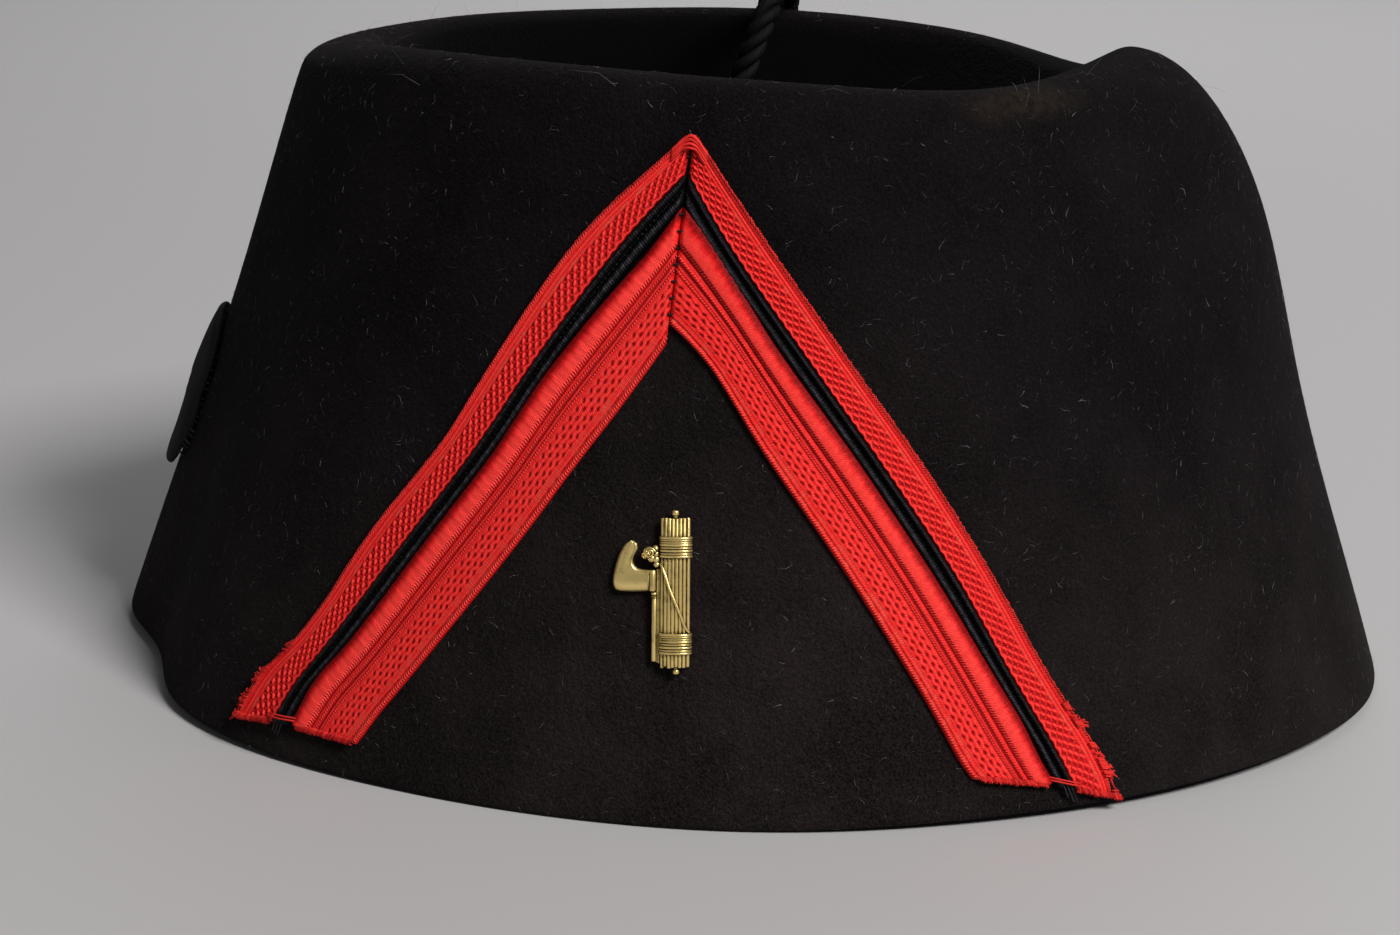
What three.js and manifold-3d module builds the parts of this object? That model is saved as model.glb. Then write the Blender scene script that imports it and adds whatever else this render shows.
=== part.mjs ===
// A black felt fez with its crown pushed in, as a three.js scene graph in millimetres.
// +Z is up, the wearer's front is -Y and the wearer's left is +X. The origin lies on the
// resting plane, under the middle of the hem's box.
//
// The felt is one shell. Its wall rises from an oval hem to a rounded crest, turns over
// and drops to a flat tip, out of which a short stem carries the tassel's cord. A chevron,
// a black braid between two red laces, is sewn on the left wall, with a brass pin under it.

import * as THREE from "three";
import { mergeVertices } from "three/addons/utils/BufferGeometryUtils.js";
import Module from "manifold-3d";

const wasm = await Module();
wasm.setup();

// ---------------------------------------------------------------- driving dimensions, mm

const GAP = 0.3; // kept between pieces that touch
const FELT = 2.6; // thickness of the crown's felt

const HEM_HALF_LENGTH = 103; // front to back, before the table's hemOut
const HEM_HALF_WIDTH = 87;
const AXIS_Y = 1; // the crown's axis, measured from the origin
const HEM_EDGE = 1.3; // height of the narrow band at the hem
const HOLLOW_AT = 0.6; // how far up the wall its hollow is deepest

const TIP_RADIUS = 43; // flat disc at the bottom of the recess
const TIP_HEIGHT = 74;
const TIP_OFFSET_Y = -3; // from the crown's axis
const TIP_FILLET = 6;

const AROUND = 64; // sections round the crown
const WALL_STEPS = 6;
const SHOULDER_STEPS = 5;
const LIP_STEPS = 4;
const FILLET_STEPS = 3;

// One row for each section of the crown, looking down on it. azimuth 0 is the left side, 90 the
// back, 180 the right side and 270 the front. The shoulder is the outer quarter of the fold
// at the crest, the lip its inner quarter. hollow is how far the wall sinks at mid-height.
const CROWN = table(
  ["azimuth", "hemLift", "hemOut", "crestRadius", "crestHeight",
    "shoulderWidth", "shoulderDrop", "lipWidth", "hollow"],
  [
    [0, 0, 0, 62, 101, 5, 7, 4, 0],
    [30, 1, -1.5, 62, 99.5, 5, 9, 4, 0],
    [60, 1.5, -1, 57.5, 101, 12, 20, 5, 0],
    [75, 1, 0, 58.5, 102, 20, 40, 6, 0.5],
    [90, 0.5, 0, 55, 97.5, 30, 52, 8, 1.5],
    [105, 0, 0, 58.5, 94.5, 20, 40, 6, 0.5],
    [120, 0, -1, 57.5, 93.5, 12, 20, 5, 0],
    [150, 0, -1.5, 62, 95.5, 6, 9, 4, 0],
    [180, 0, 0, 62, 97, 5, 7, 4, 0],
    [210, 0, -0.5, 62, 97, 5, 7, 4, 0],
    [240, 0, 0, 62, 97.5, 6, 7, 4.5, 0.5],
    [270, 1, 2, 65, 97.5, 10, 6, 5, 1],
    [285, 1.5, -4.5, 63, 98.5, 8, 6, 5, 0.5],
    [300, 1, 1, 62, 100, 6, 7, 4.5, 0.5],
    [330, 0, 0, 62, 101.5, 5, 7, 4, 0],
  ],
);

// The chevron in side elevation: how far back of the origin each lace edge lies, at a few
// heights on the front arm and on the back arm. The wide lace's inner edge meets its other
// half below the top row.
const ARM_COLUMNS = ["height", "narrowOuter", "narrowInner", "wideOuter", "wideInner"];
const FRONT_ARM = table(ARM_COLUMNS, [
  [80, -21.5, -15.5, -11.5, null],
  [62, -33.5, -28, -25, -12.5],
  [50, -40.5, -35.5, -32.5, -20.5],
  [35, -51.5, -46, -43, -31],
  [20, -61, -56.5, -53.5, -42],
  [8, -71, -65, -62.5, -51],
]);
const BACK_ARM = table(ARM_COLUMNS, [
  [80, 3.5, -2, -5, null],
  [62, 17, 11.5, 8.5, -3],
  [50, 26, 20.5, 17.5, 5.5],
  [35, 36, 31, 28, 16.5],
  [20, 45, 40, 37.5, 26.5],
  [8, 53, 47.5, 45, 34],
]);
// Where each edge starts at the mitred seam and where it ends at the two feet.
const EDGE_ENDS = table(
  ["edge", "seamY", "seamZ", "frontY", "frontZ", "backY", "backZ"],
  [
    ["narrowOuter", -7, 94.4, -72.5, 4.4, 56, 1.8],
    ["narrowInner", -7.6, 89, -66.2, 5.4, 50, 3.6],
    ["wideOuter", -8, 84.3, -63.2, 5.6, 46.8, 4.6],
    ["wideInner", -9.5, 67.3, -53, 5.4, 35.6, 6.6],
  ],
);
const LACE_THICKNESS = 1;
const BRAID_THICKNESS = 1.6;
const BRAID_INSET = 0.14; // share of the channel left free on each side of the braid
const ARM_STEPS = 14;

// The pin's frame: x towards the wearer's back, y up the wall and z out of it.
const BADGE_AT = { y: -7.1, z: 32.6, tilt: 2.9 }; // its middle on the left wall
const BUNDLE = {
  width: 4, top: 10.4, bottom: -10.6, thickness: 1.7,
  rods: 7, rodSteps: 4, flute: 0.22, fall: 0.75, // fall: how far its sides drop from its middle
};
const BINDING = { height: 3, proud: 0.1, lift: 0.15, upper: 6.2, lower: -7.15, lowerReach: 3.1 };
const STRAP = { width: 0.7, length: 9.4, thickness: 0.3, rise: 9, shift: 3.2, y: -0.8, sunk: 0.05 };
const HANDLE = { radius: 0.62, length: 9, x: -2.75, top: -0.8, steps: 6 };
const SOCKET = { width: 0.9, height: 3.1, depth: 1.2, x: -3.1, y: 1.45 };
const NECK = { width: 2.2, height: 1, depth: 0.8, x: -2.6, y: 5.4 };
const KNOB = { radius: 0.85, x: -3.7, y: 5.4, z: 0.8, around: 10, steps: 6 };
const TOP_FINIAL = { width: 1.1, height: 1.6, depth: 1.1, x: 0, y: BUNDLE.top + 0.2 };
const BOTTOM_FINIAL = { width: 0.8, height: 1.4, depth: 1.1, x: 0.25, y: BUNDLE.bottom - 0.1 };
const AXE_OUTLINE = [
  [-6.4, 6.9], [-7.7, 5.2], [-8.5, 3.2], [-8.7, 1.4], [-8.3, 0], [-3.6, 0], [-3.6, -0.85],
  [-1.6, -0.85], [-1.6, 3.1], [-4.9, 3.3], [-5.5, 3.8], [-5.8, 4.7], [-5.2, 6.1],
];
const PLATE_THICKNESS = 0.8;
const POST_RADIUS = 0.6;
const POST_CLEARANCE = 0.3;
const KEEPER_RADIUS = 4;
const KEEPER_THICKNESS = 1;
const KEEPER_GAP = 0.45; // a flat keeper inside a curved wall

const PATCH = {
  azimuth: 270, height: 39.5, halfWidth: 11, halfHeight: 13.4,
  thickness: 1.9, edge: 0.8, fall: 0.6, // fall: how far the padding drops to its edge
  waist: 0.16, waistHeight: 0.28, around: 28,
};

const STEM = { y: -4, height: 14, baseRadius: 6.5, neckRadius: 3, topRadius: 2.6 };

const CORD_DIAMETER = 4;
const CORD_SIDES = 8;
const CORD_STEPS = 64;
// The cord's route: up out of the stem, over the right side's crest, down the wall and
// along the surface to its tassel.
const CORD_ROUTE = [
  [0, -4, 88.9], [0, -3.6, 91], [-0.3, -1.6, 97], [-1.6, 0.2, 102.2], [-5.2, 1.6, 106.2],
  [-12, 2.2, 108.4], [-22, 2.5, 108.6], [-34, 2.7, 106.8], [-46, 2.8, 103.8], [-56, 2.8, 101.2],
  [-63, 2.7, 99.4], [-68.2, 2.4, 95.7], [-70.6, 1.9, 88], [-73.2, 0.8, 77], [-76.2, -0.8, 64],
  [-79.4, -2.8, 50], [-82.6, -5, 36], [-85.6, -7.2, 23], [-88, -9, 12.6], [-90.6, -10.2, 6],
  [-95, -10, 2.9], [-100, -6.6, 2.2], [-102.4, 0, 2.9], [-102.5, 7, 4.6], [-102, 13, 5],
];
const TASSEL = {
  heading: 5, headLength: 12, headRadius: 5.6, cordEndRadius: CORD_DIAMETER / 2 + 0.3, neckRadius: 3.6,
  cordEndHeight: 5, neckHeight: 4.6, headRise: 1, headSteps: 6, headAround: 18, fringeAround: 20,
  clearance: 0.02, // above the surface
};
// The fringe spreads and flattens along its length.
const FRINGE_LENGTH = 60;
const FRINGE = table(["share", "halfWidth", "halfHeight"], [
  [0, 4.2, 4.2], [0.08, 5.6, 4.9], [0.25, 7.4, 4.8], [0.5, 9, 4.4], [0.8, 10.4, 4], [1, 11, 3.6],
]);

const COLOURS = {
  felt: { color: 0x131316, roughness: 0.95, metalness: 0 },
  red: { color: 0xc8232c, roughness: 0.6, metalness: 0 },
  black: { color: 0x17171b, roughness: 0.7, metalness: 0 },
  brass: { color: 0xb8923a, roughness: 0.3, metalness: 1 },
};

// ---------------------------------------------------------------- tables and small helpers

function table(columns, rows) {
  return rows.map((row) => Object.fromEntries(columns.map((name, i) => [name, row[i]])));
}

const radians = THREE.MathUtils.degToRad;
const lerp = THREE.MathUtils.lerp;

/** One column of the crown's table at any azimuth, on a smooth closed curve through its rows. */
function crownValue(column, azimuth) {
  const count = CROWN.length;
  const at = ((azimuth % 360) + 360) % 360;
  let k = count - 1;
  while (CROWN[k].azimuth > at) k -= 1;
  const row = (i) => {
    const turn = Math.floor(i / count);
    const found = CROWN[i - turn * count];
    return { a: found.azimuth + 360 * turn, v: found[column] };
  };
  const [p0, p1, p2, p3] = [row(k - 1), row(k), row(k + 1), row(k + 2)];
  const slope = (a, b, c) => ((b.v - a.v) / (b.a - a.a) + (c.v - b.v) / (c.a - b.a)) / 2;
  const span = p2.a - p1.a;
  const t = (at - p1.a) / span;
  const m1 = slope(p0, p1, p2) * span;
  const m2 = slope(p1, p2, p3) * span;
  return (2 * t ** 3 - 3 * t ** 2 + 1) * p1.v + (t ** 3 - 2 * t ** 2 + t) * m1
    + (3 * t ** 2 - 2 * t ** 3) * p2.v + (t ** 3 - t ** 2) * m2;
}

/** A closed skin through rings of equal length, with a fan at each end. */
function closedSkin(rings) {
  const ringSize = rings[0].length;
  const positions = rings.flat().flatMap((p) => [p.x, p.y, p.z]);
  const middles = [rings[0], rings[rings.length - 1]].map((ring) => {
    const middle = new THREE.Vector3();
    ring.forEach((p) => middle.addScaledVector(p, 1 / ringSize));
    positions.push(middle.x, middle.y, middle.z);
    return positions.length / 3 - 1;
  });
  const faces = [];
  const last = (rings.length - 1) * ringSize;
  for (let i = 0; i < ringSize; i += 1) {
    const j = (i + 1) % ringSize;
    for (let start = 0; start < last; start += ringSize) {
      const next = start + ringSize;
      faces.push(start + i, next + i, next + j, start + i, next + j, start + j);
    }
    faces.push(middles[0], i, j, middles[1], last + j, last + i);
  }
  const geometry = new THREE.BufferGeometry();
  geometry.setAttribute("position", new THREE.Float32BufferAttribute(positions, 3));
  geometry.setIndex(faces);
  return geometry;
}

/** The solid of a closed geometry, for joining and cutting. */
function solidOf(geometry, matrix = new THREE.Matrix4()) {
  const bare = geometry.clone().applyMatrix4(matrix);
  bare.deleteAttribute("normal");
  bare.deleteAttribute("uv");
  const merged = mergeVertices(bare, 1e-5);
  const mesh = new wasm.Mesh({
    numProp: 3,
    vertProperties: new Float32Array(merged.attributes.position.array),
    triVerts: new Uint32Array(merged.index.array),
  });
  return new wasm.Manifold(mesh);
}

function geometryOf(solid) {
  const mesh = solid.getMesh();
  const geometry = new THREE.BufferGeometry();
  geometry.setAttribute("position", new THREE.Float32BufferAttribute(mesh.vertProperties, 3));
  geometry.setIndex([...mesh.triVerts]);
  return geometry;
}

function joined(solids) {
  return solids.reduce((whole, piece) => whole.add(piece));
}

function named(name, geometry, colour) {
  const mesh = new THREE.Mesh(geometry, new THREE.MeshStandardMaterial(COLOURS[colour]));
  mesh.name = name;
  return mesh;
}

// ---------------------------------------------------------------- the felt wall

/** The upright section of the outer wall at one azimuth: its hem, and the fold's outer arc. */
function wallSection(azimuth) {
  const a = radians(azimuth);
  const oval = 1 / Math.hypot(Math.cos(a) / HEM_HALF_WIDTH, Math.sin(a) / HEM_HALF_LENGTH);
  const hem = { r: oval + crownValue("hemOut", azimuth), z: Math.max(0, crownValue("hemLift", azimuth)) };
  const width = crownValue("shoulderWidth", azimuth);
  const drop = crownValue("shoulderDrop", azimuth);
  const crest = { r: crownValue("crestRadius", azimuth), z: crownValue("crestHeight", azimuth) };
  const centre = { r: crest.r, z: crest.z - drop };
  // The straight wall runs from the hem and touches the fold's arc at this angle.
  const across = drop * (hem.r - centre.r);
  const along = width * (hem.z - centre.z);
  const turn = Math.atan2(along, across) + Math.acos((width * drop) / Math.hypot(across, along));
  const shoulder = { r: centre.r + width * Math.cos(turn), z: centre.z + drop * Math.sin(turn) };
  return { hem, crest, centre, width, drop, turn, shoulder, hollow: crownValue("hollow", azimuth) };
}

/** The wall's distance from the crown's axis at one azimuth and height. */
function wallRadius(azimuth, z) {
  const { hem, centre, width, drop, shoulder, hollow } = wallSection(azimuth);
  if (z > shoulder.z) return centre.r + width * Math.sqrt(1 - ((z - centre.z) / drop) ** 2);
  const t = (z - hem.z) / (shoulder.z - hem.z);
  const near = t < HOLLOW_AT ? t / HOLLOW_AT : (1 - t) / (1 - HOLLOW_AT);
  return lerp(hem.r, shoulder.r, t) - hollow * Math.sin((Math.max(0, near) * Math.PI) / 2) ** 2;
}

function onWall(azimuth, z) {
  const a = radians(azimuth);
  const r = wallRadius(azimuth, z);
  return new THREE.Vector3(r * Math.cos(a), AXIS_Y + r * Math.sin(a), z);
}

/** The azimuth of the left wall's point that lies y back of the origin at height z. */
function leftAzimuth(y, z) {
  let azimuth = 0;
  for (let i = 0; i < 10; i += 1) {
    azimuth = THREE.MathUtils.radToDeg(Math.asin((y - AXIS_Y) / wallRadius(azimuth, z)));
  }
  return azimuth;
}

/** A point on the wall with its outward normal and its level and uphill directions. */
function wallFrame(azimuth, z) {
  const step = 0.5;
  const point = onWall(azimuth, z);
  const level = onWall(azimuth + step, z).sub(onWall(azimuth - step, z)).normalize();
  const uphill = onWall(azimuth, z + step).sub(onWall(azimuth, z - step)).normalize();
  const normal = level.clone().cross(uphill).normalize();
  return { point, level, uphill, normal };
}

/** A point that stands off the left wall by the given height. */
function offLeftWall(y, z, height) {
  const { point, normal } = wallFrame(leftAzimuth(y, z), z);
  return point.addScaledVector(normal, height);
}

/** The outer face of the felt at one azimuth, from the tip's middle out to the hem, in (r, z). */
function feltProfile(azimuth) {
  const { hem, crest, centre, width, drop, turn, shoulder } = wallSection(azimuth);
  const lip = crownValue("lipWidth", azimuth);
  const a = radians(azimuth);
  const b = TIP_OFFSET_Y * Math.sin(a);
  const tip = b + Math.sqrt(b * b + TIP_RADIUS ** 2 - TIP_OFFSET_Y ** 2);
  // The recess wall leans from the tip's fillet to the end of the lip's arc.
  const foot = { r: tip + TIP_FILLET, z: TIP_HEIGHT + TIP_FILLET };
  const lean = Math.max(0.05, Math.atan2(crest.r - lip - foot.r, crest.z - lip - foot.z));
  const profile = [[tip / 3, TIP_HEIGHT], [(tip * 2) / 3, TIP_HEIGHT]];
  for (let i = 0; i <= FILLET_STEPS; i += 1) {
    const t = (i / FILLET_STEPS) * (Math.PI / 2 - lean);
    profile.push([tip + TIP_FILLET * Math.sin(t), foot.z - TIP_FILLET * Math.cos(t)]);
  }
  for (let i = 0; i <= LIP_STEPS; i += 1) {
    const t = Math.PI - lean - (i / LIP_STEPS) * (Math.PI / 2 - lean);
    profile.push([crest.r + lip * Math.cos(t), crest.z - lip + lip * Math.sin(t)]);
  }
  for (let i = 1; i <= SHOULDER_STEPS; i += 1) {
    const t = lerp(Math.PI / 2, turn, i / SHOULDER_STEPS);
    profile.push([centre.r + width * Math.cos(t), centre.z + drop * Math.sin(t)]);
  }
  for (let i = 1; i < WALL_STEPS; i += 1) {
    const z = lerp(shoulder.z, hem.z, i / WALL_STEPS);
    profile.push([wallRadius(azimuth, z), z]);
  }
  profile.push([wallRadius(azimuth, hem.z + HEM_EDGE), hem.z + HEM_EDGE], [hem.r, hem.z]);
  return profile;
}

/** The same profile moved in by the felt's thickness, from the hem back to the tip. */
function feltLining(profile) {
  const last = profile.length - 1;
  const moved = profile.map(([r, z], i) => {
    const [r0, z0] = i === 0 ? [0, z] : profile[i - 1];
    const [r1, z1] = profile[Math.min(i + 1, last)];
    const length = Math.hypot(r1 - r0, z1 - z0);
    const [nr, nz] = [-(z1 - z0) / length, (r1 - r0) / length];
    if (i === last) return [r - FELT / nr, z];
    return [r - FELT * nr, z - FELT * nz];
  });
  return moved.reverse();
}

function crownGeometry(hole) {
  const sections = Array.from({ length: AROUND }, (_, i) => {
    const azimuth = (360 * i) / AROUND;
    const face = feltProfile(azimuth);
    return [...face, ...feltLining(face)].map(([r, z]) => {
      const a = radians(azimuth);
      return new THREE.Vector3(r * Math.cos(a), AXIS_Y + r * Math.sin(a), z);
    });
  });
  const rings = sections[0].map((_, k) => sections.map((section) => section[k]));
  return geometryOf(solidOf(closedSkin(rings)).subtract(hole));
}

// ---------------------------------------------------------------- the chevron

/** One lace edge on one arm, as a curve in side elevation from the seam to the foot. */
function edgeCurve(arm, edge) {
  const ends = EDGE_ENDS.find((row) => row.edge === edge);
  const foot = arm === FRONT_ARM ? [ends.frontY, ends.frontZ] : [ends.backY, ends.backZ];
  const rows = arm.filter((row) => row[edge] !== null).map((row) => [row[edge], row.height]);
  const points = [[ends.seamY, ends.seamZ], ...rows, foot];
  return new THREE.CatmullRomCurve3(points.map(([y, z]) => new THREE.Vector3(0, y, z)));
}

/** A band along both arms between two edges, mitred at the seam and lying on the wall. */
function bandGeometry(outerEdge, innerEdge, { thickness, inset, across }) {
  const ringAt = (arm, s) => {
    const outer = edgeCurve(arm, outerEdge).getPointAt(s);
    const inner = edgeCurve(arm, innerEdge).getPointAt(s);
    const shares = Array.from({ length: across + 1 }, (_, i) => lerp(inset, 1 - inset, i / across));
    const row = (height) => shares.map((share) => {
      const at = outer.clone().lerp(inner, share);
      return offLeftWall(at.y, at.z, height);
    });
    return [...row(GAP), ...row(GAP + thickness).reverse()];
  };
  const steps = Array.from({ length: ARM_STEPS }, (_, i) => (i + 1) / ARM_STEPS);
  const rings = [
    ...[...steps].reverse().map((s) => ringAt(FRONT_ARM, s)),
    ringAt(FRONT_ARM, 0),
    ...steps.map((s) => ringAt(BACK_ARM, s)),
  ];
  return closedSkin(rings);
}

// ---------------------------------------------------------------- the brass pin

/** Turns a flat piece drawn with y up and z outward to its place on the left wall. */
function badgeMatrix() {
  const { point, normal, uphill } = wallFrame(leftAzimuth(BADGE_AT.y, BADGE_AT.z), BADGE_AT.z);
  const level = uphill.clone().cross(normal).normalize();
  return new THREE.Matrix4().makeBasis(level, uphill, normal).setPosition(point)
    .multiply(new THREE.Matrix4().makeRotationZ(radians(BADGE_AT.tilt)));
}

function outline(points) {
  return new THREE.Shape(points.map(([x, y]) => new THREE.Vector2(x, y)));
}

function plate(points, depth) {
  return new THREE.ExtrudeGeometry(outline(points), { depth, bevelEnabled: false, steps: 1 });
}

function bar({ width, height, depth, x, y }) {
  return new THREE.BoxGeometry(width, height, depth).translate(x, y, depth / 2);
}

/** An outline in the pin's x and z, drawn down from a height y. */
function drawnDown(shape, top, depth, curveSegments) {
  const options = { depth, bevelEnabled: false, steps: 1, curveSegments };
  return new THREE.ExtrudeGeometry(shape, options).rotateX(Math.PI / 2).translate(0, top, 0);
}

/** The bound bundle of rods: a scalloped section drawn up along y. */
function bundleGeometry() {
  const half = BUNDLE.width / 2;
  const count = BUNDLE.rods * BUNDLE.rodSteps;
  const section = [[-half, 0]];
  for (let i = 0; i <= count; i += 1) {
    const x = lerp(-half, half, i / count);
    const crown = Math.sqrt(1 - BUNDLE.fall * (x / half) ** 2);
    const flute = BUNDLE.flute * Math.abs(Math.cos((Math.PI * i) / BUNDLE.rodSteps));
    section.push([x, (BUNDLE.thickness - flute) * crown]);
  }
  section.push([half, 0]);
  return drawnDown(outline(section), BUNDLE.top, BUNDLE.top - BUNDLE.bottom);
}

/** The half-round handle of the axe, from its collar down beside the bundle. */
function handleGeometry() {
  const section = new THREE.Shape().absarc(0, 0, HANDLE.radius, 0, Math.PI);
  return drawnDown(section, HANDLE.top, HANDLE.length, HANDLE.steps).translate(HANDLE.x, 0, 0);
}

/** A flat band over the bundle, from its right side to the given reach on the left. */
function bindingGeometry(y, reach) {
  const right = BUNDLE.width / 2 + BINDING.proud;
  return bar({
    width: right + reach,
    height: BINDING.height,
    depth: BUNDLE.thickness + BINDING.lift,
    x: (right - reach) / 2,
    y,
  });
}

function strapGeometry() {
  return new THREE.BoxGeometry(STRAP.width, STRAP.length, STRAP.thickness)
    .rotateZ(Math.atan2(STRAP.shift, STRAP.rise))
    .translate(0, STRAP.y, BUNDLE.thickness - STRAP.sunk);
}

function badgeGeometry() {
  const pieces = [
    bundleGeometry(),
    bindingGeometry(BINDING.upper, BUNDLE.width / 2 + BINDING.proud),
    bindingGeometry(BINDING.lower, BINDING.lowerReach),
    bar(TOP_FINIAL),
    bar(BOTTOM_FINIAL),
    strapGeometry(),
    plate([...AXE_OUTLINE].reverse(), PLATE_THICKNESS),
    bar(SOCKET),
    bar(NECK),
    new THREE.SphereGeometry(KNOB.radius, KNOB.around, KNOB.steps).translate(KNOB.x, KNOB.y, KNOB.z),
    handleGeometry(),
  ];
  const lift = new THREE.Matrix4().makeTranslation(0, 0, GAP);
  const matrix = badgeMatrix().multiply(lift);
  // The knob's back is cut off level with the pin's flat back.
  const behind = solidOf(new THREE.BoxGeometry(30, 40, 4).translate(0, 0, -2), matrix);
  return geometryOf(joined(pieces.map((piece) => solidOf(piece, matrix))).subtract(behind));
}

/** A straight post through the felt with a round keeper behind it, spun about its own axis. */
function postGeometry() {
  const keeperTop = -(FELT + KEEPER_GAP);
  const profile = [
    [0, 0], [POST_RADIUS, 0], [POST_RADIUS, keeperTop], [KEEPER_RADIUS, keeperTop],
    [KEEPER_RADIUS, keeperTop - KEEPER_THICKNESS], [0, keeperTop - KEEPER_THICKNESS],
  ].reverse();
  const turned = new THREE.LatheGeometry(profile.map(([x, y]) => new THREE.Vector2(x, y)), 20);
  turned.rotateX(Math.PI / 2);
  return geometryOf(solidOf(turned, badgeMatrix()));
}

function postHole() {
  const length = 4 * FELT;
  const radius = POST_RADIUS + POST_CLEARANCE;
  const cylinder = new THREE.CylinderGeometry(radius, radius, length, 16);
  cylinder.rotateX(Math.PI / 2).translate(0, 0, -length / 4);
  return solidOf(cylinder, badgeMatrix());
}

// ---------------------------------------------------------------- the front patch

/** A padded cloth patch of two lobes, lying on the front of the wall. */
function patchGeometry() {
  const { around, waist, waistHeight, halfWidth, halfHeight, thickness, fall } = PATCH;
  const ring = (share, height) => Array.from({ length: around }, (_, i) => {
    const a = (2 * Math.PI * i) / around;
    const v = share * Math.sin(a);
    const pinch = 1 - waist * Math.exp(-((v / waistHeight) ** 2));
    const u = share * Math.cos(a) * pinch * halfWidth;
    const z = PATCH.height + v * halfHeight;
    const azimuth = PATCH.azimuth + THREE.MathUtils.radToDeg(u / wallRadius(PATCH.azimuth, z));
    const { point, normal } = wallFrame(azimuth, z);
    return point.addScaledVector(normal, height);
  });
  const padding = (share) => GAP + thickness * Math.sqrt(1 - fall * share ** 2);
  return closedSkin([
    ring(0.25, GAP), ring(0.6, GAP), ring(1, GAP), ring(1, GAP + PATCH.edge),
    ring(0.9, padding(0.9)), ring(0.6, padding(0.6)), ring(0.25, padding(0.25)),
  ].reverse());
}

// ---------------------------------------------------------------- stem, cord and tassel

function stemGeometry() {
  const { height, baseRadius, neckRadius, topRadius } = STEM;
  const profile = [
    [0, 0], [baseRadius, 0], [baseRadius, 0.8], [baseRadius - 1.6, 1.8], [neckRadius + 0.7, 4],
    [neckRadius, 7], [topRadius, height], [0, height],
  ];
  const turned = new THREE.LatheGeometry(profile.map(([x, y]) => new THREE.Vector2(x, y)), 24);
  turned.rotateX(Math.PI / 2).translate(0, STEM.y, TIP_HEIGHT + GAP);
  return geometryOf(solidOf(turned));
}

function cordCurve() {
  const points = CORD_ROUTE.map((p) => new THREE.Vector3(...p));
  return new THREE.CatmullRomCurve3(points, false, "centripetal");
}

function cordGeometry() {
  const section = new THREE.Shape(Array.from({ length: CORD_SIDES }, (_, i) => {
    const a = (2 * Math.PI * i) / CORD_SIDES;
    return new THREE.Vector2(Math.cos(a), Math.sin(a)).multiplyScalar(CORD_DIAMETER / 2);
  }));
  const options = { steps: CORD_STEPS, extrudePath: cordCurve(), bevelEnabled: false };
  return new THREE.ExtrudeGeometry(section, options);
}

/** Rings of the tassel along its heading, each row giving how far along, half width, half height. */
function tasselRings(rows, count) {
  const heading = radians(90 - TASSEL.heading);
  const along = new THREE.Vector3(Math.cos(heading), Math.sin(heading), 0);
  const side = new THREE.Vector3(along.y, -along.x, 0);
  const [x, y] = CORD_ROUTE[CORD_ROUTE.length - 1];
  const start = new THREE.Vector3(x, y, 0);
  return rows.map(({ at, halfWidth, halfHeight, z }) => Array.from({ length: count }, (_, i) => {
    const a = (2 * Math.PI * i) / count;
    const p = start.clone().addScaledVector(along, at).addScaledVector(side, halfWidth * Math.cos(a));
    p.z = z + halfHeight * Math.sin(a);
    return p;
  }));
}

function tasselKnotGeometry() {
  const { headLength, headRadius, neckRadius, headSteps, clearance } = TASSEL;
  const rows = Array.from({ length: headSteps + 1 }, (_, i) => {
    const t = i / headSteps;
    const bulge = (headRadius - neckRadius) * Math.sin(Math.PI * t) ** 0.8;
    const radius = lerp(TASSEL.cordEndRadius, neckRadius, t) + bulge;
    const z = lerp(TASSEL.cordEndHeight, TASSEL.neckHeight, t) + TASSEL.headRise * Math.sin(Math.PI * t);
    return { at: GAP + t * headLength, halfWidth: radius, halfHeight: Math.min(radius, z - clearance), z };
  });
  return closedSkin(tasselRings(rows, TASSEL.headAround));
}

function tasselFringeGeometry() {
  const start = TASSEL.headLength + 2 * GAP;
  const rows = FRINGE.map(({ share, halfWidth, halfHeight }) => (
    { at: start + share * FRINGE_LENGTH, halfWidth, halfHeight, z: halfHeight + TASSEL.clearance }
  ));
  return closedSkin(tasselRings(rows, TASSEL.fringeAround));
}

// ---------------------------------------------------------------- the assembly

const lace = { thickness: LACE_THICKNESS, inset: 0, across: 4 };
const braid = { thickness: BRAID_THICKNESS, inset: BRAID_INSET, across: 1 };

const fez = new THREE.Group();
fez.add(
  named("crown", crownGeometry(postHole()), "felt"),
  named("crown_stem", stemGeometry(), "felt"),
  named("front_patch", patchGeometry(), "black"),
  named("narrow_lace", bandGeometry("narrowOuter", "narrowInner", lace), "red"),
  named("black_braid", bandGeometry("narrowInner", "wideOuter", braid), "black"),
  named("wide_lace", bandGeometry("wideOuter", "wideInner", lace), "red"),
  named("badge", badgeGeometry(), "brass"),
  named("badge_post", postGeometry(), "brass"),
  named("cord", cordGeometry(), "black"),
  named("tassel_knot", tasselKnotGeometry(), "black"),
  named("tassel_fringe", tasselFringeGeometry(), "black"),
);

export default fez;
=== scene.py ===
"""A black felt fez with a chevron of red laces, a brass pin and a tassel on a twisted cord.

Lengths are in metres, or in millimetres where a docstring says so, in the frame of the
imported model: the hem rests at z = 0, the wearer's front is -Y and the wearer's left, where
the chevron lies, is +X.
"""

import logging
import math
from dataclasses import dataclass, field
from enum import Enum
from typing import Any, Callable, Iterable, Optional, Sequence

import bmesh
import bpy
import numpy as np
from bmesh.types import BMesh, BMFace, BMVert
from mathutils import Matrix, Vector
from mathutils.bvhtree import BVHTree


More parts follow.
